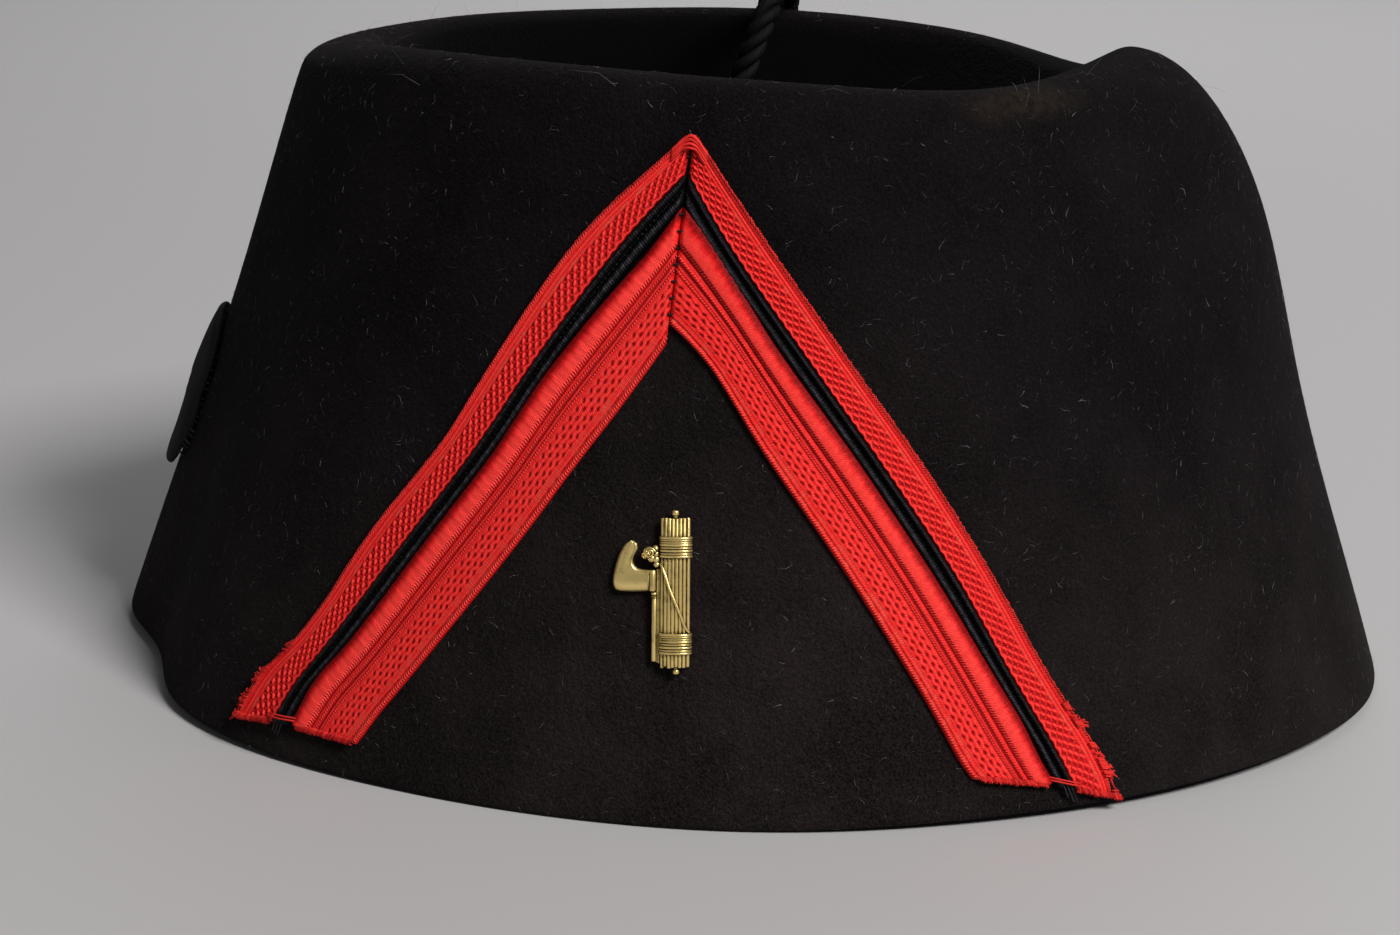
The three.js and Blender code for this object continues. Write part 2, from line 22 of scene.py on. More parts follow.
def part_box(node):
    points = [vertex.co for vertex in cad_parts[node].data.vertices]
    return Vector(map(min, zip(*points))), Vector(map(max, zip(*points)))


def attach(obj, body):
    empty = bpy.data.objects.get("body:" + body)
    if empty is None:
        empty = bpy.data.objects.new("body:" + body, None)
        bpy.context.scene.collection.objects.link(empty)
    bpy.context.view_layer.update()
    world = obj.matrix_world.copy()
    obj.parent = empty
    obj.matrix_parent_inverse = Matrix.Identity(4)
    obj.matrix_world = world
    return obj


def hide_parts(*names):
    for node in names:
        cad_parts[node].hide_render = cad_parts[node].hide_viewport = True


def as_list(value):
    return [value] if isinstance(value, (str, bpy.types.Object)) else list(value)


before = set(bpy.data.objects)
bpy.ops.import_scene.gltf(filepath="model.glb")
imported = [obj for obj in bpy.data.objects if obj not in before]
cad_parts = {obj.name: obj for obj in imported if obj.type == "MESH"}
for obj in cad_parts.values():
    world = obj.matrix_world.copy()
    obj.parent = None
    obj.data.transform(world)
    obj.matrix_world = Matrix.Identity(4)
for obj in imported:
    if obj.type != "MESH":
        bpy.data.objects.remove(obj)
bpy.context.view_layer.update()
MM = 0.001
LOG = logging.getLogger("fez")
Colour = tuple[float, float, float]
Place = tuple[float, float, float]


# ---- shader building


class Value:
    """A shader socket that carries one number, with arithmetic that adds Math nodes."""

    def __init__(self, tree: "ShaderTree", socket: Any) -> None:
        """Wraps an output socket of a tree."""
        self.tree = tree
        self.socket = socket

    def _math(self, operation: str, *operands: Any, clamp: bool = False) -> "Value":
        """Adds one Math node.

        Args:
            operation: The Math node's operation.
            operands: Numbers, sockets or values, in the node's order.
            clamp: Whether the result is kept between 0 and 1.

        Returns:
            The node's result.
        """
        inputs = {i: operand for i, operand in enumerate(operands)}
        settings = {"operation": operation, "use_clamp": clamp}
        node = self.tree.node("ShaderNodeMath", settings, inputs)
        return Value(self.tree, node.outputs[0])

    def __add__(self, other: Any) -> "Value":
        """Returns the sum."""
        return self._math("ADD", self, other)

    __radd__ = __add__

    def __sub__(self, other: Any) -> "Value":
        """Returns this less the other."""
        return self._math("SUBTRACT", self, other)

    def __rsub__(self, other: Any) -> "Value":
        """Returns the other less this."""
        return self._math("SUBTRACT", other, self)

    def __mul__(self, other: Any) -> "Value":
        """Returns the product."""
        return self._math("MULTIPLY", self, other)

    __rmul__ = __mul__

    def __pow__(self, power: Any) -> "Value":
        """Returns this raised to a power."""
        return self._math("POWER", self, power)

    def clamped(self) -> "Value":
        """Returns this kept between 0 and 1."""
        return self._math("ADD", self, 0.0, clamp=True)

    def sine(self) -> "Value":
        """Returns the sine of this, in radians."""
        return self._math("SINE", self)

    def size(self) -> "Value":
        """Returns this without its sign."""
        return self._math("ABSOLUTE", self)

    def ramp(self, start: float, end: float) -> "Value":
        """Rises smoothly from 0 at start to 1 at end, or falls where end is the lesser.

        Args:
            start: Where the result is 0.
            end: Where the result is 1.

        Returns:
            The eased result, between 0 and 1.
        """
        settings = {"interpolation_type": "SMOOTHSTEP", "clamp": True}
        if start < end:
            inputs = {"Value": self, "From Min": start, "From Max": end}
        else:
            inputs = {"Value": self, "From Min": end, "From Max": start, "To Min": 1.0, "To Max": 0.0}
        node = self.tree.node("ShaderNodeMapRange", settings, inputs)
        return Value(self.tree, node.outputs[0])

    def bump(self, centre: float, width: float) -> "Value":
        """Returns a smooth hump of height 1 about a centre, 0 beyond the given half width."""
        return (self - centre).size().ramp(width, 0.0)


class ShaderTree:
    """One material's node tree and its single Principled shader."""

    def __init__(self, name: str) -> None:
        """Makes an empty material with a Principled shader on its output.

        Args:
            name: The material's name.
        """
        self.material = bpy.data.materials.new(name)
        self.material.use_nodes = True
        self.material.node_tree.nodes.clear()
        self.shader = self.node("ShaderNodeBsdfPrincipled")
        self.node("ShaderNodeOutputMaterial", inputs={"Surface": self.shader.outputs[0]})

    def node(
        self,
        kind: str,
        settings: Optional[dict[str, Any]] = None,
        inputs: Optional[dict[Any, Any]] = None,
    ) -> bpy.types.Node:
        """Adds one node.

        Args:
            kind: The node's type.
            settings: Properties that are set first; stops sets a ramp's positions and colours.
            inputs: Values, sockets or Value objects for its inputs, by name or number.

        Returns:
            The new node.
        """
        made = self.material.node_tree.nodes.new(kind)
        for name, setting in (settings or {}).items():
            if name == "stops":
                self._set_stops(made, setting)
            else:
                setattr(made, name, setting)
        for key, given in (inputs or {}).items():
            self.feed(made.inputs[key], given)
        return made

    @staticmethod
    def _set_stops(node: bpy.types.Node, stops: Sequence[tuple[float, Sequence[float]]]) -> None:
        """Gives a colour ramp its stops.

        Args:
            node: The ramp.
            stops: Each stop's position and colour.
        """
        elements = node.color_ramp.elements
        while len(elements) < len(stops):
            elements.new(0.5)
        for element, (position, colour) in zip(elements, stops):
            element.position = position
            element.color = (*colour, 1.0)

    def feed(self, socket: Any, given: Any) -> None:
        """Links a socket to another, or sets its value.

        Args:
            socket: The input that is fed.
            given: A Value, an output socket, a number, a vector or a colour.
        """
        if isinstance(given, Value):
            given = given.socket
        if isinstance(given, bpy.types.NodeSocket):
            self.material.node_tree.links.new(given, socket)
        elif isinstance(given, tuple) and len(given) == 3 and socket.type == "RGBA":
            socket.default_value = (*given, 1.0)
        else:
            socket.default_value = given

    def object_point(self) -> Any:
        """Returns the point on the piece, in metres."""
        return self.node("ShaderNodeTexCoord").outputs["Object"]

    def woven_point(self) -> tuple[Value, Value, Value]:
        """Returns the weave's own coordinates: millimetres across and along, and either its painted shade
        and highlight or a thread's tone.
        """
        return self.axes(self.node("ShaderNodeAttribute", {"attribute_name": "weave"}).outputs["Vector"])

    def axes(self, point: Any) -> tuple[Value, Value, Value]:
        """Returns the three parts of a vector."""
        split = self.node("ShaderNodeSeparateXYZ", inputs={0: point})
        return tuple(Value(self, socket) for socket in split.outputs)

    def stretched(self, point: Any, scale: Sequence[float]) -> Any:
        """Returns a point with each part multiplied."""
        settings = {"operation": "MULTIPLY"}
        return self.node("ShaderNodeVectorMath", settings, {0: point, 1: tuple(scale)}).outputs[0]

    def noise(self, point: Any, per_unit: float, detail: float = 2.0, rough: float = 0.5) -> Value:
        """Returns a cloudy noise from 0 to 1 with the given number of lumps for each unit of the point."""
        inputs = {"Vector": point, "Scale": per_unit, "Detail": detail, "Roughness": rough}
        return Value(self, self.node("ShaderNodeTexNoise", inputs=inputs).outputs[0])

    def mixed(self, share: Any, first: Any, second: Any) -> Any:
        """Mixes two colours; a share of 1 gives the second."""
        return self.node("ShaderNodeMix", {"data_type": "RGBA"}, {0: share, 6: first, 7: second}).outputs[2]

    def relief(self, height: Value, depth: float) -> None:
        """Tilts the surface by a height map; depth is in metres for a height of 1."""
        bump = self.node("ShaderNodeBump", inputs={"Height": height, "Distance": depth, "Strength": 1.0})
        self.feed(self.shader.inputs["Normal"], bump.outputs[0])

    def finish(self, **inputs: Any) -> bpy.types.Material:
        """Sets the shader's sockets.

        Args:
            inputs: What each socket gets, by its name with underscores for spaces.

        Returns:
            The finished material.
        """
        for name, given in inputs.items():
            self.feed(self.shader.inputs[name.replace("_", " ")], given)
        return self.material


# ---- finishes


@dataclass(frozen=True)
class FeltFinish:
    """Dense black wool felt: a mottled matt ground with a fine nap and a faded band on its fold.

    Its well is darkened as painted shade, and painted light makes it lighter towards its hem
    and in a patch on its +X side. Each effect starts at the first place of its pair and is full
    at the second.
    """

    name: str = "black_felt"
    dark: Colour = (0.0018, 0.0013, 0.0015)
    light: Colour = (0.0098, 0.0076, 0.0082)
    clouds_per_metre: float = 55.0
    curls_per_metre: float = 900.0
    nap_per_metre: float = 2600.0
    nap_depth: float = 0.45 * MM
    # painted shade: a near-black colour for the well inside the crest
    well_shade: Colour = (0.0003, 0.0002, 0.0002)
    well_reach: tuple[float, float] = (61.2 * MM, 57.2 * MM)
    well_height: tuple[float, float] = (40 * MM, 60 * MM)
    # painted light: a colour that makes the felt lighter towards the hem and in a patch on the +X side
    painted_light: Colour = (0.0190, 0.0138, 0.0134)
    hem_light_height: tuple[float, float] = (66 * MM, 4 * MM)
    lit_patch_side: tuple[float, float] = (55 * MM, 75 * MM)
    lit_patch_reach: tuple[float, float] = (45 * MM, 10 * MM)
    lit_patch_height: tuple[float, float] = (85 * MM, 55 * MM)
    faded: Colour = (0.0145, 0.0102, 0.0080)
    fade_middle: Place = (51.5 * MM, 38.5 * MM, 97.5 * MM)
    fade_turn: float = 46.0
    fade_reach: Place = (3.6 * MM, 14.0 * MM, 3.2 * MM)

    def build(self) -> bpy.types.Material:
        """Returns the material."""
        tree = ShaderTree(self.name)
        point = tree.object_point()
        cloud = tree.noise(point, self.clouds_per_metre, 4.0, 0.6).ramp(0.32, 0.72)
        nap = tree.noise(point, self.nap_per_metre, 3.0, 0.7)
        curl = tree.noise(point, self.curls_per_metre, 3.0, 0.65)
        colour = tree.mixed(cloud * 0.35 + nap.ramp(0.38, 0.72) * 0.65, self.dark, self.light)
        east, north, height = tree.axes(point)
        # painted shade: the well inside the crest is mixed towards a near-black colour
        well = (east**2 + north**2).ramp(*(reach**2 for reach in self.well_reach))
        colour = tree.mixed(well * height.ramp(*self.well_height) * 0.9, colour, self.well_shade)
        # painted light: lighter towards the hem and in a patch on the +X side at mid height, broken up by
        # the nap's mottling
        middle = (north**2).ramp(*(reach**2 for reach in self.lit_patch_reach))
        lit_patch = east.ramp(*self.lit_patch_side) * middle * height.ramp(*self.lit_patch_height)
        lit_share = (height.ramp(*self.hem_light_height) + lit_patch * 0.5) * (nap.ramp(0.3, 0.7) * 0.6 + cloud * 0.4)
        colour = tree.mixed((lit_share * 0.9).clamped(), colour, self.painted_light)
        worn = self._fade(tree, point) * (nap * 0.5 + curl.ramp(0.3, 0.7))
        tree.relief(nap * 0.7 + curl, self.nap_depth)
        return tree.finish(
            Base_Color=tree.mixed(worn.clamped(), colour, self.faded),
            Roughness=0.95,
            Specular_IOR_Level=0.06,
            Sheen_Weight=0.016,
            Sheen_Roughness=0.4,
            Sheen_Tint=(0.62, 0.56, 0.60),
        )

    def _fade(self, tree: ShaderTree, point: Any) -> Value:
        """Works out how faded the felt is, about the band's middle on the fold.

        Args:
            tree: The felt's nodes.
            point: The point on the piece.

        Returns:
            The share, from 0 to 1.
        """
        turn = (0.0, 0.0, math.radians(self.fade_turn))
        inputs = {"Vector": point, "Location": self.fade_middle, "Rotation": turn}
        turned = tree.node("ShaderNodeMapping", {"vector_type": "TEXTURE"}, inputs).outputs[0]
        scaled = tree.stretched(turned, tuple(1 / reach for reach in self.fade_reach))
        length = tree.node("ShaderNodeVectorMath", {"operation": "LENGTH"}, {0: scaled})
        wander = tree.noise(point, 180.0, 3.0, 0.6) * 0.9 - 0.45
        return (Value(tree, length.outputs["Value"]) + wander).ramp(1.15, 0.35)


@dataclass(frozen=True)
class LaceFinish:
    """Red woven lace: fine thread lines, with a painted highlight on its crests and painted deep red shade
    in its hollows.

    corded gives the columns of tight slanted stitches, each with its middle and half width
    in millimetres across the lace; worn gives the columns whose threads have faded. A
    stitch and a thread are given by their pitch along the lace, in millimetres too.
    """

    name: str
    corded: tuple[tuple[float, float], ...]
    worn: tuple[tuple[float, float], ...]
    # deep, middle and bright run from painted shade in the hollows to a painted highlight on the crests,
    # picked by the weave's shade
    deep: Colour = (0.19, 0.0002, 0.0010)
    middle: Colour = (0.70, 0.0085, 0.0090)
    bright: Colour = (1.00, 0.0520, 0.0420)
    faded: Colour = (0.62, 0.1150, 0.0700)
    # a pinkish painted highlight on the corded stitches
    painted_glint: Colour = (1.0, 0.125, 0.105)
    stitch: float = 0.43
    thread: float = 0.24

    def build(self) -> bpy.types.Material:
        """Returns the material."""
        tree = ShaderTree(self.name)
        x, y, shade = tree.woven_point()
        flat = tree.node("ShaderNodeCombineXYZ", inputs={0: x, 1: y}).outputs[0]
        slack = tree.noise(flat, 0.35, 2.0) * 1.6
        stitches = ((y + x * 0.5 + slack * 0.12) * (2 * math.pi / self.stitch)).sine() * 0.5 + 0.5
        threads = ((y + x * 0.35 + slack) * (2 * math.pi / self.thread)).sine() * 0.5 + 0.5
        across = tree.noise(tree.stretched(flat, (0.7, 5.0, 1.0)), 1.0, 2.0, 0.6)
        grain = tree.noise(flat, 5.0, 3.0, 0.6)
        corded = self._columns(x, self.corded)
        tone = shade + corded * (stitches - 0.44) * 1.15
        tone = tone + threads * 0.12 + across * 0.62 + grain * 0.35 - 0.53
        # painted light: the weave's shade, with the stitches and threads, picks deep red for painted shade
        # and bright for painted highlights
        ramp = tree.node(
            "ShaderNodeValToRGB",
            {"stops": ((0.06, self.deep), (0.48, self.middle), (1.0, self.bright))},
            {0: tone.clamped()},
        )
        # painted highlight: pinkish on the tops of the corded stitches
        colour = tree.mixed((corded * stitches**4 * 0.6).clamped(), ramp.outputs[0], self.painted_glint)
        patchy = tree.noise(flat, 0.5, 3.0, 0.6).ramp(0.38, 0.66)
        wear = self._columns(x, self.worn) * patchy * across.ramp(0.3, 0.6)
        colour = tree.mixed((wear * 0.75).clamped(), colour, self.faded)
        tree.relief(corded * stitches * 1.5 + threads * 0.2 + across * 0.7 + grain * 0.3, 0.18 * MM)
        return tree.finish(
            Base_Color=colour,
            Roughness=0.46,
            Specular_IOR_Level=0.17,
            Specular_Tint=(1.0, 0.72, 0.70),
        )

    @staticmethod
    def _columns(x: Value, columns: Sequence[tuple[float, float]]) -> Value:
        """Returns a mask of the given columns, each with a middle and a half width."""
        masks = [x.bump(centre, half) for centre, half in columns]
        return sum(masks[1:], masks[0])


@dataclass(frozen=True)
class BraidFinish:
    """Black soutache: near-black ridges with fine slanted threads and a painted highlight along each
    ridge's crest.
    """

    name: str = "black_braid"
    dark: Colour = (0.0010, 0.0009, 0.0010)
    # the colour of the painted highlight on the ridges' crests
    light: Colour = (0.054, 0.050, 0.066)
    thread: float = 0.42
    slant: float = 5.0
    sharpness: float = 22

    def build(self) -> bpy.types.Material:
        """Returns the material."""
        tree = ShaderTree(self.name)
        x, y, shade = tree.woven_point()
        flat = tree.node("ShaderNodeCombineXYZ", inputs={0: x, 1: y}).outputs[0]
        fibre = tree.noise(tree.stretched(flat, (5.0, 0.9, 1.0)), 1.0, 3.0, 0.6)
        threads = (y * (2 * math.pi / self.thread) + x * self.slant).sine() * 0.5 + 0.5
        tree.relief(threads * 0.4 + fibre * 1.1, 0.16 * MM)
        patchy = tree.noise(flat, 0.7, 2.0).ramp(0.30, 0.62) * 0.7 + 0.3
        lit = (fibre.ramp(0.32, 0.62) * 0.75 + 0.25) * (threads * 0.4 + 0.6) * patchy
        # painted highlight: a thin lighter line on each ridge's crest
        crest = shade**self.sharpness * lit
        colour = tree.mixed(crest.clamped(), self.dark, self.light)
        return tree.finish(Base_Color=colour, Roughness=0.42, Specular_IOR_Level=0.09)


@dataclass(frozen=True)
class FloorFinish:
    """Plain pale studio paper."""

    name: str = "studio_paper"
    colour: Colour = (0.435, 0.425, 0.427)

    def build(self) -> bpy.types.Material:
        """Returns the material."""
        tree = ShaderTree(self.name)
        return tree.finish(Base_Color=self.colour, Roughness=0.9, Specular_IOR_Level=0.1)


# ---- mesh helpers


MERGE_DISTANCE = 0.002 * MM


def node_mesh(node: str) -> BMesh:
    """Copies a CAD node's mesh and merges its doubles.

    Args:
        node: The node's name.

    Returns:
        The merged copy.
    """
    bm = bmesh.new()
    bm.from_mesh(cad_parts[node].data)
    bmesh.ops.remove_doubles(bm, verts=bm.verts, dist=MERGE_DISTANCE)
    return bm


def drawn_rim(bm: BMesh) -> list[BMVert]:
    """Draws a new rim out of a mesh's open edges, to be moved into place.

    Args:
        bm: The mesh in the making.

    Returns:
        The new rim's corners.
    """
    edges = [e for e in bm.edges if e.is_boundary]
    drawn = bmesh.ops.extrude_edge_only(bm, edges=edges)["geom"]
    return [part for part in drawn if isinstance(part, BMVert)]


def piece_from(bm: BMesh, name: str, material: bpy.types.Material) -> bpy.types.Object:
    """Makes a finished object of a bmesh, at the origin and shaded smooth.

    Args:
        bm: The mesh in the making; it is freed.
        name: The object's name.
        material: Its one material.

    Returns:
        The new object, riding on the part's body.
    """
    mesh = bpy.data.meshes.new(name)
    bm.to_mesh(mesh)
    bm.free()
    mesh.materials.append(material)
    mesh.polygons.foreach_set("use_smooth", [True] * len(mesh.polygons))
    made = bpy.data.objects.new(name, mesh)
    bpy.context.scene.collection.objects.link(made)
    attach(made, "root")
    return made


def dress_node(node: str, material: bpy.types.Material) -> None:
    """Gives a CAD node that stays in view a new finish.

    Args:
        node: The node's name.
        material: Its finish.
    """
    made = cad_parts[node]
    made.data.materials.clear()
    made.data.materials.append(material)


# ---- studio


@dataclass(frozen=True)
class SoftBox:
    """A square light: its place, side, power and colour, and what it is turned to."""

    name: str
    place: Place
    side: float
    watts: float
    tint: Colour
    target: Place = (0.0, 0.001, 0.055)

    def hang(self) -> None:
        """Hangs the light in the scene."""
        data = bpy.data.lights.new(self.name, "AREA")
        data.shape, data.size = "SQUARE", self.side
        data.energy, data.color = self.watts, self.tint
        light = bpy.data.objects.new(self.name, data)
        aim = (Vector(self.target) - Vector(self.place)).to_track_quat("-Z", "Y")
        light.matrix_world = Matrix.Translation(self.place) @ aim.to_matrix().to_4x4()
        bpy.context.scene.collection.objects.link(light)


@dataclass
class Studio:
    """Camera, floor and soft lights; angles are in degrees and the lens in millimetres."""

    target: Place = (0.0, 0.001, 0.055)
    distance: float = 0.471
    azimuth: float = 1.55
    elevation: float = 12.26
    yaw: float = -1.08
    pitch: float = -3.11
    roll: float = 1.57
    lens: float = 74.57
    clip: tuple[float, float] = (0.01, 20.0)
    floor_reach: float = 6.0
    room_colour: Colour = (0.86, 0.88, 0.92)
    room_strength: float = 0.10
    boxes: tuple[SoftBox, ...] = (
        SoftBox("key", (0.95, 0.88, 1.2), 0.5, 35.0, (1.0, 0.985, 0.97)),
        SoftBox("fill", (1.0, -1.3, 0.8), 1.3, 0.9, (1.0, 0.98, 0.96)),
        SoftBox("top", (-0.4, 0.4, 1.6), 1.2, 1.2, (0.94, 0.97, 1.0)),
        SoftBox("backdrop", (-1.05, 0.12, 0.95), 0.8, 7.5, (0.98, 0.98, 1.0), (-1.15, 0.12, 0.0)),
    )

    def place_camera(self) -> None:
        """Makes the scene's camera: aimed at the target, then swung, tipped and rolled."""
        azimuth, elevation = math.radians(self.azimuth), math.radians(self.elevation)
        flat = math.cos(elevation)
        back = Vector((math.cos(azimuth) * flat, math.sin(azimuth) * flat, math.sin(elevation)))
        eye = Vector(self.target) + back * self.distance
        right = (-back).cross(Vector((0, 0, 1))).normalized()
        up = right.cross(-back)
        swing = right * math.tan(math.radians(self.yaw)) + up * math.tan(math.radians(self.pitch))
        forward = (swing - back).normalized()
        level = forward.cross(Vector((0, 0, 1))).normalized()
        upright = level.cross(forward)
        roll = math.radians(self.roll)
        right = math.cos(roll) * level + math.sin(roll) * upright
        up = math.cos(roll) * upright - math.sin(roll) * level
        data = bpy.data.cameras.new("camera")
        data.lens = self.lens
        data.clip_start, data.clip_end = self.clip
        camera = bpy.data.objects.new("camera", data)
        turn = Matrix((right, up, -forward)).transposed().to_4x4()
        camera.matrix_world = Matrix.Translation(eye) @ turn
        bpy.context.scene.collection.objects.link(camera)
        bpy.context.scene.camera = camera

    def lay_floor(self, finish: FloorFinish) -> None:
        """Lays a plain floor that runs far past the view.

        Args:
            finish: The floor's paper.
        """
        bm = bmesh.new()
        bmesh.ops.create_grid(bm, x_segments=2, y_segments=2, size=self.floor_reach)
        floor = piece_from(bm, "floor", finish.build())

    def light(self) -> None:
        """Hangs the soft boxes and sets the room's own light."""
        world = bpy.data.worlds.new("room")
        world.use_nodes = True
        sky = world.node_tree.nodes["Background"].inputs
        sky["Color"].default_value = (*self.room_colour, 1.0)
        sky["Strength"].default_value = self.room_strength
        bpy.context.scene.world = world
        for box in self.boxes:
            box.hang()


# ---- the felt crown


@dataclass
class FeltCrown:
    """The felt shell with its fold and pushed-in tip, and the pin's hole closed.

    Its CAD is built of upright sections about an axis, which meet in its two middles.
    """

    finish: FeltFinish
    axis_y: float = 1 * MM
    sections: int = 64
    levels: int = 2
    post_reach: float = 1.5 * MM
    middle_reach: float = 2 * MM
    section_slack: float = 0.02 * MM

    def build(self) -> bpy.types.Object:
        """Builds the crown's piece.

        Returns:
            The crown as a smooth shell of quads.
        """
        bm = node_mesh("crown")
        self._close_post_hole(bm)
        self._dissolve_diagonals(bm)
        crown = piece_from(bm, "crown_felt", self.finish.build())
        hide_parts("crown")
        smooth = crown.modifiers.new("smooth", "SUBSURF")
        smooth.levels = smooth.render_levels = self.levels
        return crown

    def _close_post_hole(self, bm: BMesh) -> None:
        """Removes the small hole that the pin's post passes through.

        Args:
            bm: The crown's mesh.
        """
        points = np.array([v.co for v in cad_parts["badge_post"].data.vertices])
        middle = Vector(points.mean(0))
        axis = Vector(np.linalg.svd(points - points.mean(0))[2][2])
        cut = [v for v in bm.verts if (v.co - middle).cross(axis).length < self.post_reach]
        bmesh.ops.delete(bm, geom=cut, context="VERTS")
        for face in bmesh.ops.holes_fill(bm, edges=bm.edges, sides=0)["faces"]:
            self._restore_corner(bm, face)

    def _restore_corner(self, bm: BMesh, face: BMFace) -> None:
        """Puts back the wall's corner that the hole took, between those above and below it.

        Args:
            bm: The crown's mesh.
            face: The face that fills the hole on one side of the felt.
        """
        corners: dict[Optional[int], list[BMVert]] = {}
        for v in face.verts:
            corners.setdefault(self._section(v.co), []).append(v)
        above, below = next(
            pair for pair in corners.values()
            if len(pair) == 2 and not any(set(pair) == set(e.verts) for e in face.edges)
        )
        height = float(np.median([v.co.z for v in face.verts]))
        share = (above.co.z - height) / (above.co.z - below.co.z)
        place = above.co.lerp(below.co, share)
        bmesh.ops.poke(bm, faces=[face])["verts"][0].co = place

    def _section(self, co: Vector) -> Optional[int]:
        """Finds the upright section that a point lies on.

        Args:
            co: The point.

        Returns:
            The section's number, -1 for a middle, or None between sections.
        """
        x, y = co.x, co.y - self.axis_y
        if math.hypot(x, y) < self.middle_reach:
            return -1
        turns = math.degrees(math.atan2(y, x)) * self.sections / 360
        off = abs(turns - round(turns)) * 2 * math.pi / self.sections * math.hypot(x, y)
        return round(turns) % self.sections if off < self.section_slack else None

    def _dissolve_diagonals(self, bm: BMesh) -> None:
        """Dissolves each edge that leads to another section and another ring.

        Args:
            bm: The crown's mesh.
        """
        section = {v: self._section(v.co) for v in bm.verts}
        middles = [v for v in bm.verts if section[v] == -1]
        start = max(middles, key=lambda v: v.co.z)
        ring = {start: 0}
        front = [start]
        while front:
            found = []
            for v in front:
                for edge in v.link_edges:
                    other = edge.other_vert(v)
                    same = section[other] == section[v] or v is start
                    if other not in ring and same and section[other] != -1:
                        ring[other] = ring[v] + 1
                        found.append(other)
            front = found
        slanted = [
            e for e in bm.edges
            if not set(e.verts) & set(middles)
            and section[e.verts[0]] != section[e.verts[1]]
            and ring.get(e.verts[0], -1) != ring.get(e.verts[1], -2)
        ]
        bmesh.ops.dissolve_edges(bm, edges=slanted, use_verts=False)
        sides = [len(f.verts) for f in bm.faces]
        LOG.info("crown: %d quads of %d faces", sides.count(4), len(sides))


# ---- numbers on grids


def distances(path: np.ndarray) -> np.ndarray:
    """Returns how far along a path each of its points lies."""
    return np.concatenate([[0], np.cumsum(np.linalg.norm(np.diff(path, axis=0), axis=1))])


def eased_rows(rows: np.ndarray, at: np.ndarray) -> np.ndarray:
    """Reads an array's rows at fractional row numbers, on a smooth curve through them.

    Args:
        rows: Values in rows, with any further axes.
        at: Fractional row numbers.

    Returns:
        One smooth in-between row for each number.
    """
    last = len(rows) - 1
    low = np.clip(np.floor(at).astype(int), 0, last - 1)
    shape = (-1,) + (1,) * (rows.ndim - 1)
    t = (at - low).reshape(shape)
    p0, p1 = rows[np.clip(low - 1, 0, last)], rows[low]
    p2, p3 = rows[low + 1], rows[np.clip(low + 2, 0, last)]
    p0 = np.where((low == 0).reshape(shape), 2 * p1 - p2, p0)
    p3 = np.where((low + 1 == last).reshape(shape), 2 * p2 - p1, p3)
    cubic = 3 * (p1 - p2) + p3 - p0
    return p1 + t * (p2 - p0 + t * (2 * p0 - 5 * p1 + 4 * p2 - p3 + t * cubic)) / 2


def smooth_path(rows: Any, count: int) -> np.ndarray:
    """Returns so many points on a smooth curve through a few rows."""
    return eased_rows(np.array(rows), np.linspace(0, len(rows) - 1, count))


def unit(vectors: np.ndarray) -> np.ndarray:
    """Returns vectors at length 1."""
    return vectors / np.linalg.norm(vectors, axis=-1, keepdims=True)


def rib(values: np.ndarray, centre: Any, half: float) -> np.ndarray:
    """Returns a round rib: 1 at its centre, falling like a circle to 0 at its half width."""
    return np.sqrt(np.clip(1 - ((values - centre) / half) ** 2, 0, 1))


def eased(values: np.ndarray, start: float, end: Any) -> np.ndarray:
    """Returns a number that rises smoothly from 0 at start to 1 at end."""
    t = np.clip((values - start) / (end - start), 0, 1)
    return t * t * (3 - 2 * t)


def between(values: np.ndarray, start: float, end: float, edge: float) -> np.ndarray:
    """Returns 1 between start and end, with soft edges of the given width."""
    half = edge / 2
    return eased(values, start - half, start + half) * eased(-values, -end - half, -end + half)


# ---- threads


def carried_side(path: np.ndarray) -> np.ndarray:
    """Carries a side direction along a path without twist.

    Args:
        path: The path's points, in rows.

    Returns:
        The direction at each point.
    """
    tangents = unit(np.gradient(path, axis=0))
    start = np.eye(3)[np.argmin(np.abs(tangents[0]))]
    sides = [unit(np.cross(tangents[0], start))]
    for tangent in tangents[1:]:
        sides.append(unit(sides[-1] - tangent * (sides[-1] @ tangent)))
    return np.array(sides)


